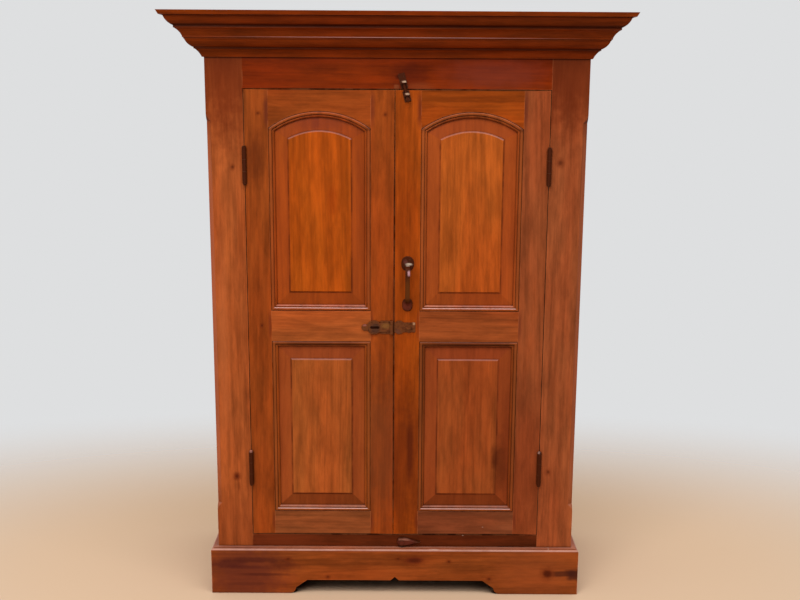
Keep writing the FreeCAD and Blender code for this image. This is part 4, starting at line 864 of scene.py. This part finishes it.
def bare_board(node, way):
    """The planed, unstained pine inside and behind the cabinet, with painted shade and dust in its corners.
    """
    pine = bpy.context.scene.trastero_pine
    material, tree, planed = new_material(f"{node}_bare_pine")
    place = coordinates(tree, "Object")
    grain = put(
        "Pine grain", Vector=lay_grain(place, node, way), Early_wood=stain(*BARE_PINE),
        Late_wood=mixed(BARE_PINE, -0.2, 0.78), Ring_scale=WAVE_TURN / pine.ring_gap, Ring_strength=0.6,
        Waviness=pine.waviness, Streaks=0.4)
    shade = put(
        "Stain blotches", Color=grain["Color"], Vector=stretched(place, way, 0.3),
        Deep_stain=mixed(BARE_PINE, 0.0, 0.75), Amount=0.25, Scale=8.0, Wander=0.35)["Color"]
    shade = add_seams(node, place, shade)
    dust_and_painted_light = put("Crevice shade and wax", Color=shade, Wax=stain(*BARE_SHADE_AND_DUST), Reach=BARE_CREVICE, Amount=0.6)
    fill(planed, {
        "Base Color": dust_and_painted_light["Color"],
        "Roughness": 0.72,
        "Normal": raised(grain["Height"], *BARE_RELIEF),
        "Specular IOR Level": BARE_SPECULAR,
    })
    finish_slots(node, material)


# Irons

DARK_IRON = ("frame_hinge_leaves", "left_door_hinge_leaves", "right_door_hinge_leaves", "hinge_pins",
             "handle_grip", "handle_rosettes", "top_bolt", "turn_button", "button_screw")
BRIDGE_IRON = ("bolt_plate", "bolt_keeper")
BROWN_IRON = ("hasp_leaf", "hasp_pin", "hasp_strap", "staple_plate", "hasp_staple")

# Spots and painted highlights of the irons: the middle across and up, half width, half height, share and
# colour.
DARK_IRON_SPOTS_AND_HIGHLIGHTS = (
    # Painted highlights on the top of the handle's grip.
    (0.035, 1.001, 0.013, 0.0048, 0.85, stain(206, 184, 160)),
    (0.036, 0.979, 0.006, 0.0105, 0.8, stain(206, 154, 158)),
    (0.033, 0.93, 0.012, 0.048, 0.8, stain(98, 50, 14)),
    (0.031, 0.88, 0.02, 0.018, 0.75, stain(118, 50, 34)),
    (0.026, 1.008, 0.008, 0.01, 0.55, stain(110, 60, 52)),
    (0.03, 0.16, 0.04, 0.011, 0.8, stain(98, 42, 30)),
    # A painted highlight on the turn button's upper edge.
    (0.028, 0.169, 0.03, 0.004, 0.45, stain(160, 104, 84)),
    # Painted highlights on the tops of the lower hinge pins.
    (-0.424, 0.444, 0.007, 0.005, 0.75, stain(196, 132, 116)),
    (0.42, 0.444, 0.007, 0.005, 0.75, stain(190, 150, 136)),
)
BROWN_IRON_SPOTS_AND_HIGHLIGHTS = (
    (-0.06, 0.815, 0.02, 0.02, 0.75, stain(70, 46, 36)),
    # A painted highlight on the tip of the hasp's strap.
    (-0.09, 0.824, 0.008, 0.005, 0.7, stain(168, 98, 84)),
    (-0.029, 0.822, 0.018, 0.012, 0.6, stain(140, 92, 44)),
    # A painted highlight on a nail of the staple plate.
    (0.051, 0.83, 0.005, 0.008, 0.8, stain(200, 150, 110)),
    (0.005, 0.805, 0.012, 0.01, 0.5, stain(98, 58, 46)),
)
# Painted highlights on the top faces of the bolt's guide and keeper: the middle across and up, and their
# half size.
HIGHLIGHT_BARS = ((0.0195, 1.5072), (0.0285, 1.4742))
HIGHLIGHT_BAR_HALF = (0.0092, 0.0036)


def forged_material(name, colour, spots):
    """Iron with hammer marks, rust, rubbed edges, spots and painted highlights."""
    iron = bpy.context.scene.trastero_iron
    material, tree, metal = new_material(name)
    place = coordinates(tree, "Object")
    rubbed = put("Edge mask", Vector=place, Reach=IRON_RUB, Breaks=260.0, Amount=0.3)["Mask"]
    forged = put(
        "Forged iron", Vector=place, Iron=(*colour, 1.0), Rust=stain(*RUST), Rubbed=(*iron.worn, 1.0),
        Rubbed_share=rubbed, Hammer_scale=1.0 / iron.hammer_size)
    shade = forged["Color"]
    for across, up, wide, tall, share, spot_colour in spots:
        shade = lay_patch(place, (across, FACE, up), (wide, 1.0, tall), share, shade, spot_colour,
                          Softness=0.7, Squared=2.5, Ragged=0.5, Ragged_scale=120.0)
    shaded_and_waxed = put("Crevice shade and wax", Color=shade, Wax=stain(*IRON_WAX), Reach=IRON_CREVICE, Amount=0.8)
    fill(metal, {
        "Base Color": shaded_and_waxed["Color"],
        "Roughness": forged["Roughness"],
        "Metallic": 0.15,
        "Normal": raised(forged["Height"], *IRON_RELIEF),
        "Specular IOR Level": IRON_SPECULAR,
    })
    return material


# Nails, made by Geometry Nodes

HEAD_SEGMENTS, HEAD_RINGS = 14, 8
HEAD_LEAST, HEAD_MOST = (0.82, 0.75, 0.82), (1.12, 1.2, 1.12)
NAIL_SEED = 7

# Places of nails on their plates, in metres: in from the staple plate's right edge and up from its foot,
# across the hasp's leaf and in from its ends, across and in from the ends of the handle's rosettes,
# and along and across the top bolt's plate and keeper.
STAPLE_NAILS = ((0.007, 0.032), (0.005, 0.019), (0.005, 0.008), (0.019, 0.005))
LEAF_NAILS_ACROSS, LEAF_NAILS_IN = (0.007, 0.021), 0.008
HANDLE_NAILS_ACROSS, HANDLE_NAIL_LOW, HANDLE_NAIL_HIGH = (-0.006, 0.006), 0.009, 0.010
BOLT_PLATE_NAILS = ((-0.029, -0.0066), (-0.029, 0.0066), (-0.020, -0.0066), (-0.020, 0.0066))
KEEPER_NAILS = ((0.009, -0.0068), (0.009, 0.0068), (0.036, -0.005), (0.036, 0.005))


def nail_tree():
    """Geometry Nodes that put a domed head with a flat on every point."""
    tree = bpy.data.node_groups.new("Clout nails", "GeometryNodeTree")
    tree.is_modifier = True
    for label, kind in (("Geometry", "NodeSocketGeometry"), ("Head radius", VALUE), ("Head height", VALUE),
                        ("Iron", "NodeSocketMaterial")):
        tree.interface.new_socket(name=label, in_out="INPUT", socket_type=kind)
    tree.interface.new_socket(name="Geometry", in_out="OUTPUT", socket_type="NodeSocketGeometry")
    given = tree.nodes.new("NodeGroupInput").outputs
    made = tree.nodes.new("NodeGroupOutput").inputs
    head = add_node(tree, "GeometryNodeMeshUVSphere",
                    {"Segments": HEAD_SEGMENTS, "Rings": HEAD_RINGS, "Radius": 1.0})
    sizes = follow("ShaderNodeCombineXYZ",
                   {"X": given["Head radius"], "Y": given["Head radius"], "Z": given["Head height"]})
    turned = follow("GeometryNodeTransform",
                    {"Geometry": head.outputs["Mesh"], "Scale": sizes.outputs["Vector"],
                     "Rotation": (QUARTER, 0, 0)})
    unlike = add_node(tree, "FunctionNodeRandomValue",
                      {0: HEAD_LEAST, 1: HEAD_MOST, "Seed": NAIL_SEED}, data_type="FLOAT_VECTOR")
    spread = follow("GeometryNodeInstanceOnPoints",
                    {"Points": given["Geometry"], "Instance": turned.outputs["Geometry"],
                     "Scale": unlike.outputs[0]})
    real = follow("GeometryNodeRealizeInstances", {"Geometry": spread.outputs["Instances"]})
    painted = follow("GeometryNodeSetMaterial",
                     {"Geometry": real.outputs["Geometry"], "Material": given["Iron"]})
    join(painted.outputs["Geometry"], made["Geometry"])
    return tree


def nails(name, body, places, iron, radius, height):
    """One mesh of nail heads on a body, each with its middle at a place."""
    tree = bpy.data.node_groups.get("Clout nails") or nail_tree()
    points = bpy.data.meshes.new(f"{name}_points")
    points.from_pydata([Vector(place) for place in places], [], [])
    holder = add_object(f"{name}_holder", points)
    modifier = holder.modifiers.new("Clout nails", "NODES")
    modifier.node_group = tree
    sockets = {item.name: item.identifier for item in tree.interface.items_tree if item.in_out == "INPUT"}
    modifier[sockets["Head radius"]] = radius
    modifier[sockets["Head height"]] = height
    modifier[sockets["Iron"]] = iron
    seen = holder.evaluated_get(bpy.context.evaluated_depsgraph_get())
    mesh = bpy.data.meshes.new_from_object(seen)
    bpy.data.objects.remove(holder, do_unlink=True)
    mesh.name = name
    for face in mesh.polygons:
        face.use_smooth = True
    piece = add_object(name, mesh)
    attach(piece, body)


def leaned(along, across):
    """A place on the plates of the leaning top bolt, from where the bolt leaves the door."""
    lean = math.radians(BOLT_LEAN)
    x, z = BOLT_FOOT
    return (x - along * math.sin(lean) + across * math.cos(lean), PLATE_FACE,
            z + along * math.cos(lean) + across * math.sin(lean))


# Operators

class TRASTERO_OT_doors(bpy.types.Operator):
    """Stains and varnishes the stiles, rails, panels and mouldings of both doors"""
    bl_idname = "trastero.doors"
    bl_label = "Stain the doors"
    bl_options = {"REGISTER", "UNDO"}

    def execute(self, context):
        stain_boards(DOORS)
        return {"FINISHED"}


class TRASTERO_OT_carcass(bpy.types.Operator):
    """Stains the corner stiles, rails, side planks and the bare pine inside"""
    bl_idname = "trastero.carcass"
    bl_label = "Stain the carcass"
    bl_options = {"REGISTER", "UNDO"}

    def execute(self, context):
        stain_boards(CARCASS)
        for node, way in BARE_BOARDS.items():
            bare_board(node, way)
        return {"FINISHED"}


class TRASTERO_OT_cornice(bpy.types.Operator):
    """Stains the two mitred layers of the cornice"""
    bl_idname = "trastero.cornice"
    bl_label = "Stain the cornice"
    bl_options = {"REGISTER", "UNDO"}

    def execute(self, context):
        stain_boards(CORNICE)
        return {"FINISHED"}


class TRASTERO_OT_plinth(bpy.types.Operator):
    """Stains the plinth with its knots"""
    bl_idname = "trastero.plinth"
    bl_label = "Stain the plinth"
    bl_options = {"REGISTER", "UNDO"}

    def execute(self, context):
        stain_boards(PLINTH)
        return {"FINISHED"}


class TRASTERO_OT_ironwork(bpy.types.Operator):
    """Finishes the hinges, handle, hasp, bolt and turn button"""
    bl_idname = "trastero.ironwork"
    bl_label = "Finish the ironwork"
    bl_options = {"REGISTER", "UNDO"}

    def execute(self, context):
        iron = context.scene.trastero_iron
        # The bolt's guide and keeper get painted highlights.
        highlight_bars = [(*middle, *HIGHLIGHT_BAR_HALF, 0.95, (*iron.bright, 1.0)) for middle in HIGHLIGHT_BARS]
        for name, colour, spots, nodes in (
                ("dark_forged_iron", iron.forged, DARK_IRON_SPOTS_AND_HIGHLIGHTS, DARK_IRON),
                ("brown_forged_iron", iron.bronzed, BROWN_IRON_SPOTS_AND_HIGHLIGHTS, BROWN_IRON),
                ("bridge_forged_iron", iron.forged, highlight_bars, BRIDGE_IRON)):
            material = forged_material(name, colour, spots)
            for node in nodes:
                finish_slots(node, material)
        return {"FINISHED"}


class TRASTERO_OT_nails(bpy.types.Operator):
    """Nails the plates of the hasp, the handle, the bolt and its keeper"""
    bl_idname = "trastero.nails"
    bl_label = "Drive the nails"
    bl_options = {"REGISTER", "UNDO"}

    def execute(self, context):
        size = context.scene.trastero_nails
        dark = bpy.data.materials["dark_forged_iron"]
        brown = bpy.data.materials["brown_forged_iron"]
        (_, _, low), (right, _, _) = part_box("staple_plate")
        staple = [(right - across, PLATE_FACE, low + up) for across, up in STAPLE_NAILS]
        (left, _, low), (_, _, high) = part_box("hasp_leaf")
        leaf = [(left + across, PLATE_FACE, z) for across in LEAF_NAILS_ACROSS
                for z in (low + LEAF_NAILS_IN, high - LEAF_NAILS_IN)]
        (left, front, low), (right, _, high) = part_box("handle_rosettes")
        handle = [((left + right) / 2 + across, front, z) for across in HANDLE_NAILS_ACROSS
                  for z in (low + HANDLE_NAIL_LOW, high - HANDLE_NAIL_HIGH)]
        plate = [leaned(along, across) for along, across in BOLT_PLATE_NAILS]
        keeper = [leaned(along, across) for along, across in KEEPER_NAILS]
        for name, body, slot, places, iron, share in (
                ("staple_plate_nails", "right_door", "bronzed_iron", staple, brown, 1.0),
                ("hasp_leaf_nails", "left_door", "bronzed_iron", leaf, brown, 0.85),
                ("handle_nails", "right_door", "dark_iron", handle, dark, 1.0),
                ("bolt_plate_nails", "right_door", "dark_iron", plate, dark, 0.7),
                ("bolt_keeper_nails", "carcass", "dark_iron", keeper, dark, 0.7)):
            nails(name, body, places, iron, size.head_radius * share, size.head_height)
        return {"FINISHED"}


class TRASTERO_OT_stage(bpy.types.Operator):
    """Sets the floor, the soft lights and the camera"""
    bl_idname = "trastero.stage"
    bl_label = "Set the studio"
    bl_options = {"REGISTER", "UNDO"}

    def execute(self, context):
        studio = context.scene.trastero_studio
        pale_floor(studio)
        soft_light("front_light", *FRONT_LIGHT, studio.key_power)
        soft_light("top_light", *TOP_LIGHT, studio.top_power)
        sky(studio)
        camera()
        return {"FINISHED"}


# Studio

# The floor's half side, where it starts to fade and is gone, and the reach of the cabinet's soft shadow.
FLOOR_REACH = 14.0
FADE_START, FADE_END = 0.5, 1.7
SHADOW_REACH = 0.24
FLOOR_SHADOW = (26, 9, 4)

# Each light's place, its target, its width and its height.
FRONT_LIGHT = (Vector((-1.4, -3.6, 3.0)), Vector((0, 0, 0.9)), 3.4, 2.4)
TOP_LIGHT = (Vector((0.3, -1.5, 3.3)), Vector((0, -0.1, 1.0)), 3.0, 0.6)
LAMP_COLOUR = (1.0, 0.985, 0.97)
SKY_COLOUR = (0.95, 0.98, 1.0, 1.0)
SKY_LOW, SKY_HIGH = 0.25, 1.5

# The camera's place in metres, its turns in degrees, and its lens in millimetres.
CAMERA_PLACE = (0.0052, -3.045, 1.476)
CAMERA_PITCH, CAMERA_YAW, CAMERA_ROLL = 11.348, 0.114, -0.348
FOCAL_LENGTH, SENSOR_WIDTH, CLIP_END = 46.35, 36.0, 100.0


def pale_floor(studio):
    """A wide plain floor that fades into the backdrop, with a soft shadow under the cabinet."""
    mesh = bpy.data.meshes.new("studio_floor")
    corners = [(x * FLOOR_REACH, y * FLOOR_REACH, 0) for x, y in ((-1, -1), (1, -1), (1, 1), (-1, 1))]
    mesh.from_pydata(corners, [], [(0, 1, 2, 3)])
    floor = add_object("studio_floor", mesh)
    material, tree, plain = new_material("plain_floor")
    shadow = add_node(tree, "ShaderNodeAmbientOcclusion", {"Distance": SHADOW_REACH}).outputs["AO"]
    shut = ramp(shadow, 0.54, 0.31)
    fill(plain, {
        "Base Color": blend_colour(shut, (*studio.floor, 1.0), stain(*FLOOR_SHADOW)),
        "Roughness": 0.9,
        "Specular IOR Level": 0.0,
    })
    flattened = vectors("MULTIPLY", coordinates(tree, "Object"), (0.5, 1.0, 1.0))
    far = ramp(vectors("LENGTH", flattened), FADE_START, FADE_END)
    clear = add_node(tree, "ShaderNodeBsdfTransparent")
    fade = follow("ShaderNodeMixShader", {0: far, 1: plain.outputs[0], 2: clear.outputs[0]})
    join(fade.outputs[0], tree.nodes["Material Output"].inputs["Surface"])
    mesh.materials.append(material)


def soft_light(name, place, target, wide, tall, power):
    """A large rectangle of soft light turned to a target."""
    lamp = bpy.data.lights.new(name, "AREA")
    lamp.shape = "RECTANGLE"
    lamp.size = wide
    lamp.size_y = tall
    lamp.energy = power
    lamp.color = LAMP_COLOUR
    turn = (target - place).to_track_quat("-Z", "Y").to_matrix()
    add_object(name, lamp).matrix_world = Matrix.Translation(place) @ turn.to_4x4()


def sky(studio):
    """Soft light from above and all round, and the backdrop's colour where the camera looks past."""
    world = bpy.data.worlds.new("studio")
    bpy.context.scene.world = world
    world.use_nodes = True
    tree = world.node_tree
    height = axes(coordinates(tree, "Generated"))["Z"]
    light = tree.nodes["Background"]
    fill(light, {
        "Color": SKY_COLOUR,
        "Strength": ramp(height, -0.1, 0.6, SKY_LOW * studio.sky, SKY_HIGH * studio.sky),
    })
    seen = add_node(tree, "ShaderNodeBackground", {"Color": (*studio.backdrop, 1.0), "Strength": 1.0})
    path = add_node(tree, "ShaderNodeLightPath").outputs
    straight = sums("MAXIMUM", path["Is Camera Ray"], path["Is Glossy Ray"])
    straight = sums("MAXIMUM", straight, path["Is Transmission Ray"])
    mix = follow("ShaderNodeMixShader", {0: straight, 1: light.outputs[0], 2: seen.outputs[0]})
    join(mix.outputs[0], tree.nodes["World Output"].inputs["Surface"])


def camera():
    """The camera at the photograph's place: its height, pitch and focal length."""
    pitch, yaw, roll = (math.radians(turn) for turn in (CAMERA_PITCH, CAMERA_YAW, CAMERA_ROLL))
    ahead = Vector((math.sin(yaw) * math.cos(pitch), math.cos(yaw) * math.cos(pitch), -math.sin(pitch)))
    right = ahead.cross(Vector((0, 0, 1))).normalized()
    up = right.cross(ahead)
    rolled_right = right * math.cos(roll) - up * math.sin(roll)
    rolled_up = right * math.sin(roll) + up * math.cos(roll)
    lens = bpy.data.cameras.new("photo_camera")
    lens.lens = FOCAL_LENGTH
    lens.sensor_width = SENSOR_WIDTH
    lens.sensor_fit = "HORIZONTAL"
    lens.clip_end = CLIP_END
    eye = add_object("photo_camera", lens)
    turn = Matrix((rolled_right, rolled_up, -ahead)).transposed()
    eye.matrix_world = Matrix.Translation(CAMERA_PLACE) @ turn.to_4x4()
    bpy.context.scene.camera = eye
    bpy.context.scene.view_settings.view_transform = "Standard"


# The add-on

STEPS = (TRASTERO_OT_stage, TRASTERO_OT_doors, TRASTERO_OT_carcass, TRASTERO_OT_cornice,
         TRASTERO_OT_plinth, TRASTERO_OT_ironwork, TRASTERO_OT_nails)
SETTINGS = {"trastero_pine": PineSettings, "trastero_iron": IronSettings,
            "trastero_nails": NailSettings, "trastero_studio": StudioSettings}


class TRASTERO_PT_finish(bpy.types.Panel):
    """The steps and their settings in the sidebar"""
    bl_idname = "TRASTERO_PT_finish"
    bl_label = "Trastero cabinet"
    bl_space_type = "VIEW_3D"
    bl_region_type = "UI"
    bl_category = "Trastero"

    def draw(self, context):
        for step in STEPS:
            self.layout.operator(step.bl_idname)
        for name, settings in SETTINGS.items():
            box = self.layout.box()
            for setting in settings.__annotations__:
                box.prop(getattr(context.scene, name), setting)


def register():
    for name, settings in SETTINGS.items():
        bpy.utils.register_class(settings)
        setattr(bpy.types.Scene, name, PointerProperty(type=settings))
    for step in STEPS:
        bpy.utils.register_class(step)
    bpy.utils.register_class(TRASTERO_PT_finish)


def unregister():
    bpy.utils.unregister_class(TRASTERO_PT_finish)
    for step in reversed(STEPS):
        bpy.utils.unregister_class(step)
    for name, settings in SETTINGS.items():
        delattr(bpy.types.Scene, name)
        bpy.utils.unregister_class(settings)


def main():
    register()
    bpy.ops.trastero.stage()
    bpy.ops.trastero.doors()
    bpy.ops.trastero.carcass()
    bpy.ops.trastero.cornice()
    bpy.ops.trastero.plinth()
    bpy.ops.trastero.ironwork()
    bpy.ops.trastero.nails()


if __name__ == "__main__":
    main()
